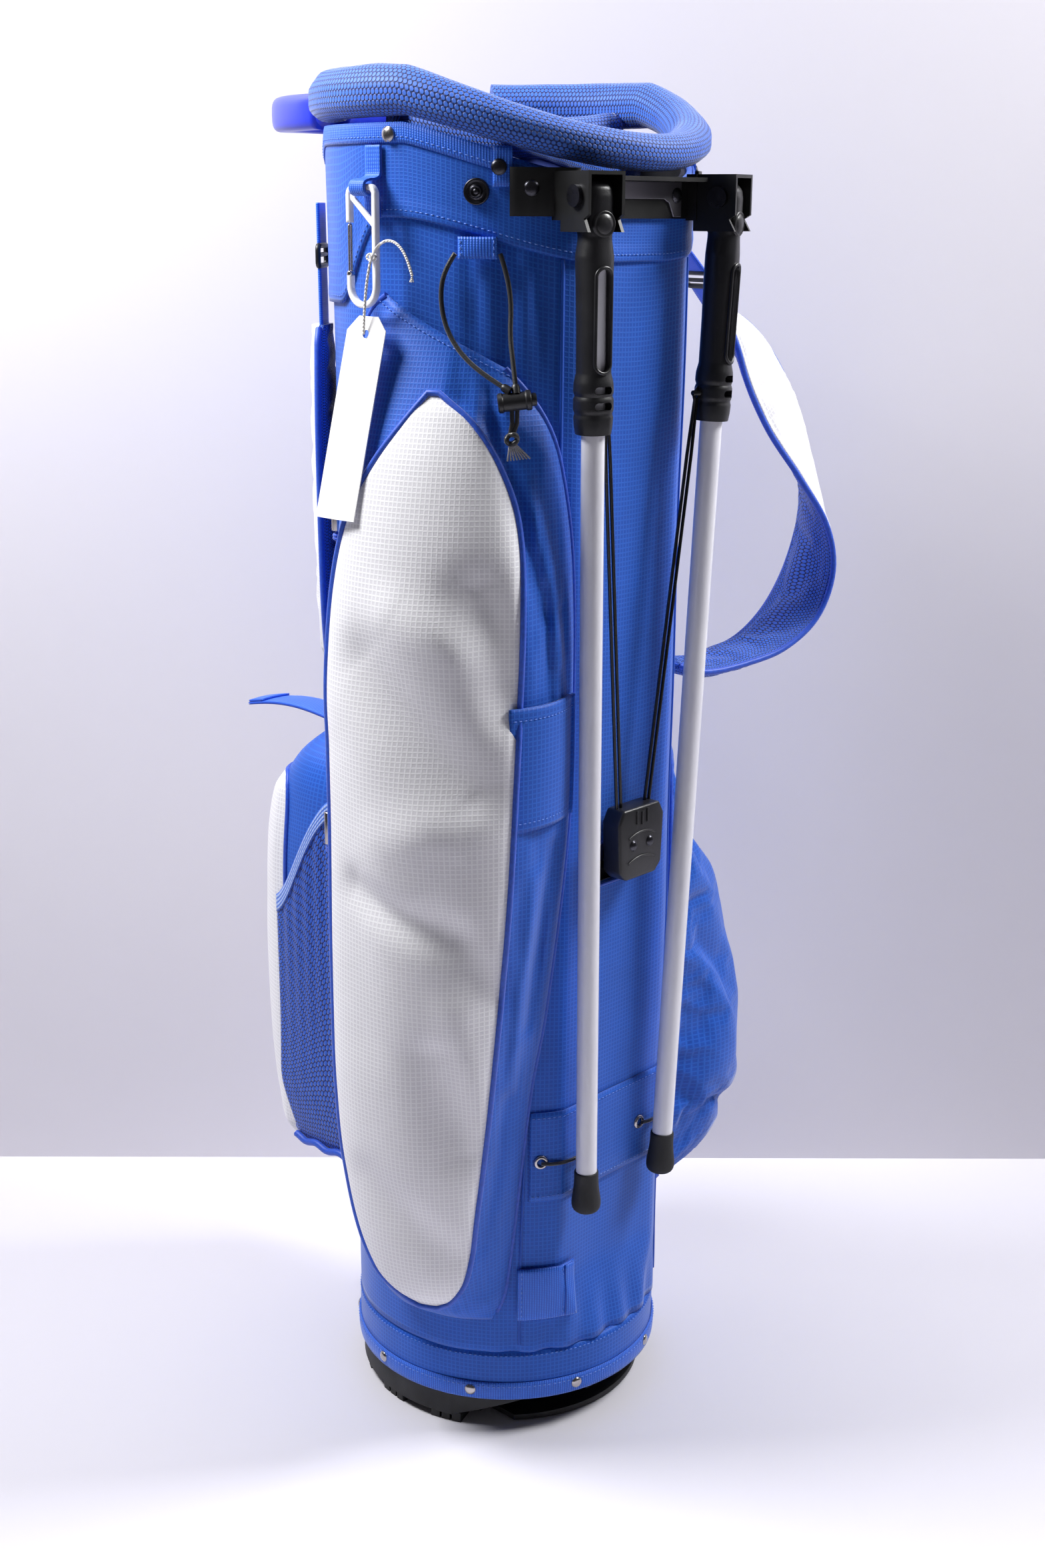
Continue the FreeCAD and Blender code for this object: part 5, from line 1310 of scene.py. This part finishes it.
ball_cloth = drape("ball_pocket_cloth", 110, 90, (0.34, 0.33), ball_place)
sew_on(thicken(ball_cloth, 0.0013), blue_ripstop, "blue_ripstop", "ball_pocket")
BALL_FACE = ((0.143, 0.30), (0.150, 0.36), (0.175, 0.385), (0.240, 0.395), (0.330, 0.395), (0.385, 0.385),
             (0.405, 0.35), (0.413, 0.28))


def ball_face_place(u, v):
    z = 0.143 + 0.270 * v
    wide = row_at(BALL_FACE, z)[0]
    skin = ball_place(0.5 + wide * (2 * u - 1), (z - 0.124) / 0.328)
    edge_fall = ease(min(1.0, min(u, 1 - u) / 0.06)) * ease(min(1.0, min(v, 1 - v) / 0.05))
    return skin + Vector((skin.x * 0.9, skin.y - 0.06, 0)).normalized() * (0.0018 + 0.0026 * edge_fall)


sew_on(thicken(drape("ball_pocket_face", 80, 90, (0.20, 0.27), ball_face_place), 0.0016, offset=-1.0),
       white_ripstop, "white_ripstop", "ball_panel")
rim = [(0.0, k / 40) for k in range(41)] + [(k / 20, 1.0) for k in range(1, 20)]
rim += [(1.0, 1 - k / 40) for k in range(41)] + [(1 - k / 20, 0.0) for k in range(1, 20)]
rim = [ball_face_place(u, v) for u, v in rim]
sew_on(tube_along("ball_pocket_piping", rim, 0.0036, cyclic=True), piping_finish, "blue_ripstop")

# Its holes are painted very dark as shade, like the collar's.
stretch_mesh = hex_mesh("dark blue stretch mesh", "#081C63", "#2358C4", cell=0.0036)


def mesh_top(y):
    """Top edge of the mesh, which slopes down away from the bag."""
    return 0.408 - 0.080 * between(y, 0.080, 0.144)


def mesh_place(u, v):
    y = 0.082 + 0.058 * u
    z = 0.150 + (mesh_top(y) - 0.150) * v
    wide, _ = row_at(BALL_POCKET, z)
    bag_out = 0.0030 * math.sin(math.pi * u) * (0.35 + 0.65 * v)
    gather = 0.0005 * math.sin(u * 34) * v
    return Vector((-wide - 0.0020 - bag_out - gather, y - 0.014 * (1 - between(z, 0.150, 0.200)) * u, z))


def elastic_place(u, v):
    y = 0.082 + 0.058 * u
    z = mesh_top(y) - 0.0125 + 0.0125 * v
    wide, _ = row_at(BALL_POCKET, z)
    return Vector((-wide - 0.0028 - 0.0030 * math.sin(math.pi * u), y, z))


sew_on(thicken(drape("mesh_side_pocket", 40, 60, (0.07, 0.24), mesh_place), 0.0010, offset=0.0), stretch_mesh,
       "blue_mesh", "mesh_pocket")
banded_elastic = webbing("pale banded elastic", "#3C6FD8", "#C9DBF8", pitch=0.0030, across="Y")
sew_on(thicken(drape("mesh_pocket_elastic", 40, 6, (0.072, 0.0125), elastic_place), 0.0012, offset=0.0),
       banded_elastic, "blue_webbing")
low_fold = [Vector((-0.0812 - 0.001 * math.sin(k / 20 * math.pi), 0.078 + 0.050 * k / 20, 0.151 + 0.0012 * math.sin(
    k * 0.7))) for k in range(21)]
sew_on(tube_along("mesh_pocket_hem", low_fold, 0.0050), piping_finish, "blue_webbing")


def tab_place(u, v):
    return Vector((-0.052 + 0.025 * u, 0.1105 + 0.0905 * v, 0.4500 + 0.0060 * math.sin(math.pi * v * 0.9)
                   - 0.0045 * v + 0.0006 * math.cos(math.pi * (u - 0.5))))


sew_on(thicken(drape("towel_tab_webbing", 10, 40, (0.025, 0.09), tab_place), 0.0018, offset=0.0), blue_webbing,
       "blue_webbing", "towel_tab")
sew_on(thicken(drape("towel_tab_fold", 10, 8, (0.025, 0.014), lambda u, v: tab_place(u, 0.84 + 0.155 * v)
                     + Vector((0, 0, 0.0018))), 0.0016, offset=0.0), blue_webbing, "blue_webbing")


# ---- shoulder straps ----------------------------------------------------------------------------
# Padded carry straps: white ripstop outside, spacer mesh inside, a corded edge all round.  One
# stands away from the right side, the other lies flat on the back.
def along_line(points, t):
    """A place and a direction on the smooth line through a few points."""
    rows = [(k, *p) for k, p in enumerate(points)]
    at = t * (len(points) - 1)
    here = Vector(row_at(rows, at))
    ahead, behind = Vector(row_at(rows, min(at + 0.02, len(points) - 1))), Vector(row_at(rows, max(at - 0.02, 0)))
    return here, (ahead - behind).normalized()


def pad_section(points, widths, twists, wide_way, u):
    """A pad's middle, half width, and the directions of its width and its outer face, at a share along it."""
    here, along = along_line(points, u)
    sizes = [(k, w, math.radians(t)) for k, (w, t) in enumerate(zip(widths, twists))]
    width, twist = row_at(sizes, u * (len(points) - 1))
    outwards = along.cross(wide_way).normalized()
    way = wide_way * math.cos(twist) + outwards * math.sin(twist)
    return here, width / 2 * (0.72 + 0.28 * ease(min(u, 1 - u) / 0.05)), way, along.cross(way).normalized()


def pad_place(points, widths, twists, wide_way, thick):
    def place(u, v):
        here, half, way, up = pad_section(points, widths, twists, wide_way, u)
        a = 2 * math.pi * v
        cos, sin = math.cos(a), math.sin(a)
        crown = 1 + 0.05 * noise.noise(Vector((u * 12, cos * 1.5, sin)))
        seam = 1 - 0.35 * math.exp(-((abs(cos) - 0.86) / 0.05) ** 2)
        rise = thick / 2 * math.copysign(abs(sin) ** 0.62, sin) * crown * seam
        return here + way * (half * math.copysign(abs(cos) ** 0.75, cos)) + up * rise
    return place


right_way, left_way = on_bag(168, 1, 0), on_bag(-51, 1, 0)
right_path = [on_bag(78, r, z) for r, z in ((0.170, 0.716), (0.196, 0.690), (0.222, 0.655), (0.246, 0.618),
                                            (0.262, 0.578), (0.262, 0.540), (0.246, 0.508), (0.218, 0.488),
                                            (0.184, 0.480), (0.152, 0.478), (0.130, 0.484))]
left_path = [on_bag(-141, body_radius(z) + 0.0085, z) for z in (0.712, 0.660, 0.600, 0.540, 0.505)]
straps = (("right", right_path, (0.034, 0.050, 0.056, 0.058, 0.058, 0.056, 0.052, 0.048, 0.042, 0.038, 0.034),
           (30, 55, 60, 48, 28, 10, 0, 0, 0, 0, 0), right_way, 0.70),
          ("left", left_path, (0.036, 0.052, 0.056, 0.052, 0.036), (0, 0, 0, 0, 0), left_way, 1.0))
for name, points, widths, twists, wide_way, white_share in straps:
    place = pad_place(points, widths, twists, wide_way, 0.0112)
    pad = drape("strap_pad_" + name, 110, 48, (0.36, 0.13), place, close=True)
    pad.data.materials.append(collar_mesh)
    pad.data.materials.append(white_ripstop)
    for polygon in pad.data.polygons:
        u = sum(pad.data.uv_layers["cloth"].data[i].uv.x for i in polygon.loop_indices) / polygon.loop_total / 0.36
        here, _, _, up = pad_section(points, widths, twists, wide_way, min(1.0, u))
        if (polygon.center - here).dot(up) > 0.0004 and u < white_share:
            polygon.material_index = 1
    close_ends(pad)
    seam_line = [place(k / 60, side) for k in range(61) for side in (0.0, 0.5)]
    settle(pad, lambda co: min((co - at).length for at in seam_line) < 0.0045, 2.0, 0.02, 0.0030)
    sew_on(pad, collar_mesh, "blue_pad", "shoulder_strap_" + name)
    for side in (-1, 1):
        cording = []
        for k in range(70):
            u = 0.01 + 0.98 * k / 69
            way = pad_section(points, widths, twists, wide_way, u)[2]
            cording.append(place(u, 0.0 if side > 0 else 0.5) + way * side * 0.0006)
        sew_on(tube_along("strap_cording_" + name + ("_a" if side < 0 else "_b"), cording, 0.0042), piping_finish,
               "blue_webbing")


def strip(name, points, wide_way, width, thick, *nodes):
    """A length of flat webbing along a smooth line."""
    def place(u, v):
        here, along = along_line(points, v)
        return here + wide_way * (width * (u - 0.5))
    run = sum((b - a).length for a, b in zip(points, points[1:]))
    return sew_on(thicken(drape(name, 8, 24, (width, run), place), thick, offset=0.0), blue_webbing,
                  "blue_webbing", *nodes)


strip("strap_web_top", [on_bag(78, r, z) for r, z in ((0.1175, 0.775), (0.124, 0.764), (0.136, 0.752),
                                                      (0.1445, 0.7435))], right_way, 0.025, 0.0018, "strap_webbing")
strip("strap_web_pad", [on_bag(78, r, z) for r, z in ((0.1555, 0.7320), (0.164, 0.7225), (0.172, 0.7135))],
      right_way, 0.025, 0.0018)
strip("strap_web_foot", [on_bag(78, r, z) for r, z in ((0.1105, 0.497), (0.121, 0.489), (0.132, 0.4838))],
      right_way, 0.025, 0.0018)
for name, high, low in (("upper", 0.784, 0.759), ("middle", 0.747, 0.706), ("lower", 0.512, 0.482)):
    strip("rest_web_" + name, [on_bag(-141, body_radius(z) + 0.0074, z) for z in (high, (high + low) / 2, low)],
          left_way, 0.025, 0.0018)


def ladder_buckle(name, middle, side, along, *nodes):
    """A moulded ladder-lock buckle: a rounded frame with two cross bars."""
    frame_line = []
    for sx, sz, start in ((1, 1, 0), (-1, 1, 90), (-1, -1, 180), (1, -1, 270)):
        for k in range(5):
            a = math.radians(start + 22.5 * k)
            frame_line.append(middle + side * (sx * 0.0122 + 0.0030 * math.cos(a))
                              + along * (sz * 0.0030 + 0.0030 * math.sin(a)))
    sew_on(tube_along(name, frame_line, 0.0034, cyclic=True, sides=4), black_plastic, "black_plastic", *nodes)
    bar = [middle + side * (0.0150 * k / 6) + along * 0.0006 for k in range(-6, 7)]
    sew_on(tube_along(name + "_bar", bar, 0.0028), black_plastic, "black_plastic")


lean = (on_bag(78, 0.157, 0.730) - on_bag(78, 0.143, 0.745)).normalized()
ladder_buckle("strap_buckle_right", on_bag(78, 0.150, 0.7375), right_way, lean, "strap_buckles")
ladder_buckle("strap_buckle_left", on_bag(-141, body_radius(0.753) + 0.0074, 0.753), left_way, Vector((0, 0, 1)))


# ---- clip and tag -------------------------------------------------------------------------------
# A white painted snap hook with a wire gate hangs in a webbing loop under the binding, and holds a
# blank card tag on a twisted cotton string.
def by_clip(x, out, z):
    """A place near the hook: along the bag towards the legs, outwards from the hook's plane, and up."""
    return Vector((-0.1215 - out, -x, z))


hook_line = [by_clip(-0.0106, 0, 0.7730), by_clip(-0.0106, 0, 0.7810), by_clip(-0.0106, 0, 0.7878)]
hook_line += [by_clip(-0.0064 - 0.0042 * math.cos(math.radians(a)), 0, 0.7880 + 0.0042 * math.sin(math.radians(a)))
              for a in range(10, 91, 16)]
hook_line += [by_clip(0.0, 0, 0.7922)]
hook_line += [by_clip(0.0064 + 0.0042 * math.sin(math.radians(a)), 0, 0.7880 + 0.0042 * math.cos(math.radians(a)))
              for a in range(0, 91, 18)]
hook_line += [by_clip(0.0106, 0, z) for z in (0.7800, 0.7660, 0.7520, 0.7420)]
hook_line += [by_clip(0.0106 * math.cos(math.radians(a)), 0, 0.7384 - 0.0106 * math.sin(math.radians(a)))
              for a in range(0, 181, 12)]
hook_line += [by_clip(-0.0106, 0, 0.7420), by_clip(-0.0106, 0, 0.7440)]


def flat_bar(name, points, plane, half_in, half_out, steps=120):
    """A bar of rounded section along a line that stays in one plane."""
    def place(u, v):
        here, along = along_line(points, u)
        return round_bar(here, plane.cross(along).normalized(), plane, half_in, half_out, v)
    return close_ends(drape(name, steps, 20, (0.1, 0.014), place, close=True))


hook_white, tree, surface = start_finish("white painted die casting", "#EFEFF3", 0.3, Coat_Weight=0.3)
where = add_node(tree, "ShaderNodeTexCoord")
wear = add_node(tree, "ShaderNodeTexNoise", {"Vector": where.outputs["Object"], "Scale": 260.0, "Detail": 5.0})
chipped = add_node(tree, "ShaderNodeMapRange", {"Value": wear.outputs["Fac"], "From Min": 0.68, "From Max": 0.72})
tone = add_node(tree, "ShaderNodeMix", {"Factor": chipped.outputs["Result"], "A": linear("#F0F0F4"),
                                        "B": linear("#D6D6DC")}, data_type="RGBA")
tree.links.new(tone.outputs["Result"], surface.inputs["Base Color"])
sew_on(flat_bar("clip_hook", hook_line, Vector((-1, 0, 0)), 0.0018, 0.0021, 200), hook_white, "white_metal",
       "carabiner_hook", body="carabiner")
strut = [by_clip(-0.0100, 0, 0.7882), by_clip(0, 0, 0.7798), by_clip(0.0102, 0, 0.7712)]
sew_on(flat_bar("clip_strut", strut, Vector((-1, 0, 0)), 0.0016, 0.0013, 20), hook_white, "white_metal",
       body="carabiner")
gate_line = [by_clip(-0.0106, -0.0009, 0.7450), by_clip(-0.0106, -0.0009, 0.7600), by_clip(-0.0106, -0.0009, 0.7712),
             by_clip(-0.0106, -0.0005, 0.7722), by_clip(-0.0106, 0.0005, 0.7722), by_clip(-0.0106, 0.0009, 0.7712),
             by_clip(-0.0106, 0.0009, 0.7600), by_clip(-0.0106, 0.0009, 0.7450)]
sew_on(tube_along("clip_gate_wire", gate_line, 0.0013), nickel, "steel_wire", "carabiner_gate", body="gate")
bm = bmesh.new()
lathe(bm, [(0.0001, 0.0), (0.0013, 0.0), (0.0016, 0.0003), (0.0016, 0.0037), (0.0013, 0.0040), (0.0001, 0.0040)],
      by_clip(-0.0106, -0.0020, 0.7450), Vector((-1, 0, 0)), 20)
sew_on(shaped("clip_gate_barrel", bm), nickel, "steel_wire", body="gate")

fold_line = [(-0.0090, 0.8150), (-0.0090, 0.8060), (-0.0086, 0.7990), (-0.0050, 0.7968), (-0.0010, 0.7964),
             (0.0030, 0.7952), (0.0042, 0.7922), (0.0030, 0.7892), (0.0, 0.7880), (-0.0030, 0.7892),
             (-0.0052, 0.7900), (-0.0074, 0.7860), (-0.0080, 0.7760)]
fold_points = [by_clip(0, out, z) for out, z in fold_line]
fold_strip = drape("clip_loop_webbing", 8, 80, (0.0124, 0.062), lambda u, v: along_line(fold_points, v)[0]
                   + Vector((0, 0.0124 * (u - 0.5), 0)))
sew_on(thicken(fold_strip, 0.0013, offset=0.0), blue_webbing, "blue_webbing", "carabiner_loop")

# Uncoated board: dead matt, with the faintest fibre in its surface.
card_white = mottled("uncoated white card", "#F4F4F4", 0.85, 600.0, ("#EEEEEE", "#F8F8F8"), (0.15, 0.0002),
                     detail=4.0)
LEAN = math.radians(14.5)


def on_tag(x, z):
    """A place on the leaning tag, from its place when upright."""
    below = z - 0.716
    return by_clip(x, 0.0035 - below * math.sin(LEAN) + 0.0008 * math.sin((x + 0.010) / 0.032 * math.pi) * (
        0.716 - z) / 0.11, 0.716 + below * math.cos(LEAN))


bm = bmesh.new()
card = [(-0.010, 0.606), (0.022, 0.606), (0.022, 0.714), (0.014, 0.722), (-0.002, 0.722), (-0.010, 0.714)]
corners = [bm.verts.new((x, 0, z)) for x, z in card]
edges = [bm.edges.new(pair) for pair in zip(corners, corners[1:] + corners[:1])]
ring = [bm.verts.new((0.006 + 0.0024 * math.cos(k * math.pi / 8), 0, 0.712 + 0.0024 * math.sin(k * math.pi / 8)))
        for k in range(16)]
edges += [bm.edges.new(pair) for pair in zip(ring, ring[1:] + ring[:1])]
bmesh.ops.triangle_fill(bm, edges=edges, use_beauty=True)
for x in (-0.006, -0.002, 0.002, 0.010, 0.014, 0.018):
    bmesh.ops.bisect_plane(bm, geom=bm.verts[:] + bm.edges[:] + bm.faces[:], plane_co=(x, 0, 0), plane_no=(1, 0, 0))
for z in (0.62, 0.64, 0.66, 0.68, 0.70):
    bmesh.ops.bisect_plane(bm, geom=bm.verts[:] + bm.edges[:] + bm.faces[:], plane_co=(0, 0, z), plane_no=(0, 0, 1))
for vert in bm.verts:
    vert.co = on_tag(vert.co.x, vert.co.z)
bmesh.ops.recalc_face_normals(bm, faces=bm.faces)
sew_on(thicken(own_object("blank_tag", bm, smooth=False), 0.0006, offset=0.0), card_white, "white_card",
       "hang_tag", body="tag")

cotton, tree, surface = start_finish("twisted white cotton", "#ECEAE6", 0.9, Sheen_Weight=0.4)
where = add_node(tree, "ShaderNodeTexCoord")
plies = add_node(tree, "ShaderNodeTexWave", {"Vector": where.outputs["Object"], "Scale": 330.0, "Distortion": 0.6},
                 wave_type="BANDS", bands_direction="DIAGONAL")
tone = add_node(tree, "ShaderNodeMix", {"Factor": plies.outputs["Fac"], "A": linear("#CFCBC4"),
                                        "B": linear("#F6F5F2")}, data_type="RGBA")
tree.links.new(tone.outputs["Result"], surface.inputs["Base Color"])
relief = add_node(tree, "ShaderNodeBump", {"Height": plies.outputs["Fac"], "Strength": 0.8, "Distance": 0.0004})
tree.links.new(relief.outputs["Normal"], surface.inputs["Normal"])
route = [by_clip(x, out, z) for x, out, z in (
    (0.0060, 0.0064, 0.712), (0.0070, 0.0062, 0.728), (0.0095, 0.0060, 0.744), (0.0135, 0.0056, 0.757),
    (0.0220, 0.0046, 0.764), (0.0310, 0.0036, 0.763), (0.0385, 0.0026, 0.755), (0.0420, 0.0024, 0.745))]
string = soft_cord("tag_cotton_string", route, 0.0016, cotton, "white_cotton", "tag_string", body="tag")
for k in range(5):
    a = 2 * math.pi * k / 5
    strand = [route[-1] + Vector((0.0011 * math.cos(a) * t, 0.0004 * t + 0.0011 * math.sin(a) * t, -0.0034 * t))
              for t in (-0.2, 0.3, 0.7, 1.0)]
    sew_on(tube_along("string_fray_" + str(k), strand, 0.0006, sides=2), cotton, "white_cotton",
                         body="tag")
hitch = []
for k in range(36):
    a = 2 * math.pi * k / 35 * 2.0
    hitch.append(by_clip(0.0112 + 0.0032 * math.cos(a), 0.0036 + 0.0012 * math.sin(a * 0.5),
                         0.7545 + 0.0018 * math.sin(a)))
sew_on(tube_along("string_hitch", hitch, 0.0013, sides=2), cotton, "white_cotton", body="tag")


# ---- elastic cinch ------------------------------------------------------------------------------
# A black elastic loop held by a webbing tab under the cuff, drawn together by a barrel cord lock
# and knotted below it.
cinch_tab = patch("cinch_tab_webbing", -61.5, -50.5, 0.754, 0.766, 0.0067, 12, 8, puff=0.0008)
sew_on(thicken(cinch_tab, 0.0044), blue_webbing, "blue_webbing", "cinch_tab")
for name, turn in (("left", -60.7), ("right", -51.3)):
    stitch("cinch_tab_stitches_" + name, along_skin(lambda t: turn, lambda t: 0.7548 + 0.0104 * t, 0.0070),
           samples=100)

lock = on_bag(-45.6, body_radius(0.678) + 0.0245, 0.678)
lock_way = (on_bag(44.4, 1, 0) + Vector((0, 0, 0.12))).normalized()
bm = bmesh.new()
lathe(bm, [(0.0001, -0.0095), (0.0046, -0.0095), (0.0055, -0.0088), (0.0057, -0.0070), (0.0051, -0.0062),
           (0.0051, 0.0060), (0.0057, 0.0068), (0.0057, 0.0088), (0.0050, 0.0095), (0.0040, 0.0095),
           (0.0039, 0.0040), (0.0001, 0.0040)], lock, lock_way, 32)
sew_on(sharpen(shaped("cord_lock_barrel", bm)), head_nylon, "black_plastic", "cord_lock_body")
bm = bmesh.new()
lathe(bm, [(0.0001, 0.0040), (0.0037, 0.0040), (0.0037, 0.0115), (0.0034, 0.0122), (0.0020, 0.0125),
           (0.0001, 0.0126)], lock, lock_way, 28)
sew_on(sharpen(shaped("cord_lock_plunger", bm)), head_nylon, "black_plastic", "cord_lock_button",
       body="lock_button")


def off_bag(rows):
    return [on_bag(turn, body_radius(z) + off, z) for turn, off, z in rows]


loop_left = off_bag(((-62.4, 0.0055, 0.757), (-65.5, 0.0068, 0.748), (-66.5, 0.0082, 0.733), (-64.5, 0.0102, 0.716),
                     (-59.5, 0.0144, 0.702), (-53.0, 0.0200, 0.6915), (-47.6, 0.0245, 0.6848)))
loop_right = off_bag(((-49.6, 0.0055, 0.757), (-47.8, 0.0068, 0.747), (-46.4, 0.0090, 0.731), (-46.8, 0.0132, 0.713),
                      (-45.9, 0.0194, 0.697), (-45.3, 0.0245, 0.6846)))
for name, points, length in (("left", loop_left, 0.0941), ("right", loop_right, 0.0761)):
    run = soft_cord("cinch_elastic_" + name, points, 0.0028, elastic_black, "black_elastic", "cinch_cord_" + name)
# The barrel's two raised cord mouths, which the elastic runs into.
bm = bmesh.new()
for points in (loop_left, loop_right):
    lathe(bm, [(0.0001, 0.0026), (0.0017, 0.0028), (0.0022, 0.0022), (0.0024, 0.0008), (0.0024, -0.0026),
               (0.0001, -0.0026)], points[-1], (points[-2] - points[-1]).normalized(), 20)
sew_on(sharpen(shaped("cord_lock_mouths", bm)), head_nylon, "black_plastic")
for k, side in enumerate((-0.0015, 0.0015)):
    tail = [lock + Vector((0, 0, -0.004)) + lock_way * side, lock + Vector((0, 0, -0.012)) + lock_way * side * 0.9,
            lock + lock_way * (side * 0.6 - 0.0015) + Vector((0, 0, -0.0175))]
    sew_on(tube_along("cinch_tail_" + str(k), tail, 0.0027), elastic_black, "black_elastic")
knot_at = lock - lock_way * 0.0015 + Vector((0, 0, -0.0205))
knot = [knot_at + lock_way * (0.0030 * math.cos(a)) + Vector((0, 0, 0.0026 * math.sin(a)))
        + lock_way.cross(Vector((0, 0, 1))) * (0.0018 * math.sin(1.5 * a)) for a in
        [4 * math.pi * k / 48 for k in range(49)]]
sew_on(tube_along("cinch_knot", knot, 0.0029), elastic_black, "black_elastic")
# Pale rubber strands and black cover threads, loose at the cut ends.
frayed_grey = mottled("frayed elastic ends", "#8A8A90", 0.8, 1800.0, ("#2A2A30", "#C8C8CE"))
for k in range(8):
    fan = (k - 3.5) / 3.5
    stem = knot_at + lock_way * (0.0012 * fan)
    strand = [stem + lock_way * (0.0052 * fan * t + 0.004 * t) + Vector((0, 0, -0.0020 - 0.0100 * t))
              for t in (0, 0.4, 0.7, 1.0)]
    sew_on(tube_along("cinch_fray_" + str(k), strand, 0.0010, sides=2), frayed_grey, "black_elastic")


# ---- dividers and stays -------------------------------------------------------------------------
# Full-length cloth dividers hang from the padded bars; pultruded fibreglass rods behind the wall
# keep the tube straight.
def divider_place(start, end):
    def place(u, v):
        z = 0.075 + 0.735 * v
        wave = 0.0025 * noise.noise(Vector((u * 3, z * 6, start.x * 50)))
        side = (end - start).normalized().cross(Vector((0, 0, 1)))
        return start.lerp(end, u) + side * wave + Vector((0, 0, z))
    return place


for name, start, end in (("across", Vector((-0.0935, 0, 0)), Vector((0.0935, 0, 0))),
                         ("to_handle", Vector((0, 0.003, 0)), Vector((0, 0.0935, 0))),
                         ("to_legs", Vector((0, -0.003, 0)), Vector((0, -0.0830, 0)))):
    sheet = drape("divider_" + name, 40, 60, ((end - start).length, 0.735), divider_place(start, end))
    sew_on(thicken(sheet, 0.0012, offset=0.0), liner_finish, "liner",
           *(["divider_panels"] if name == "across" else []))
glass_rod, tree, surface = start_finish("pultruded fibreglass", "#D8D4C4", 0.45)
where = add_node(tree, "ShaderNodeTexCoord")
drawn = add_node(tree, "ShaderNodeMapping", {"Vector": where.outputs["Object"], "Scale": (900, 900, 8)})
streaks = add_node(tree, "ShaderNodeTexNoise", {"Vector": drawn.outputs["Vector"], "Scale": 1.0})
tone = add_node(tree, "ShaderNodeMix", {"Factor": streaks.outputs["Fac"], "A": linear("#BEB9A6"),
                                        "B": linear("#E6E2D4")}, data_type="RGBA")
tree.links.new(tone.outputs["Result"], surface.inputs["Base Color"])
refinish(glass_rod, "fibreglass", "stay_rods")


low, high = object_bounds()
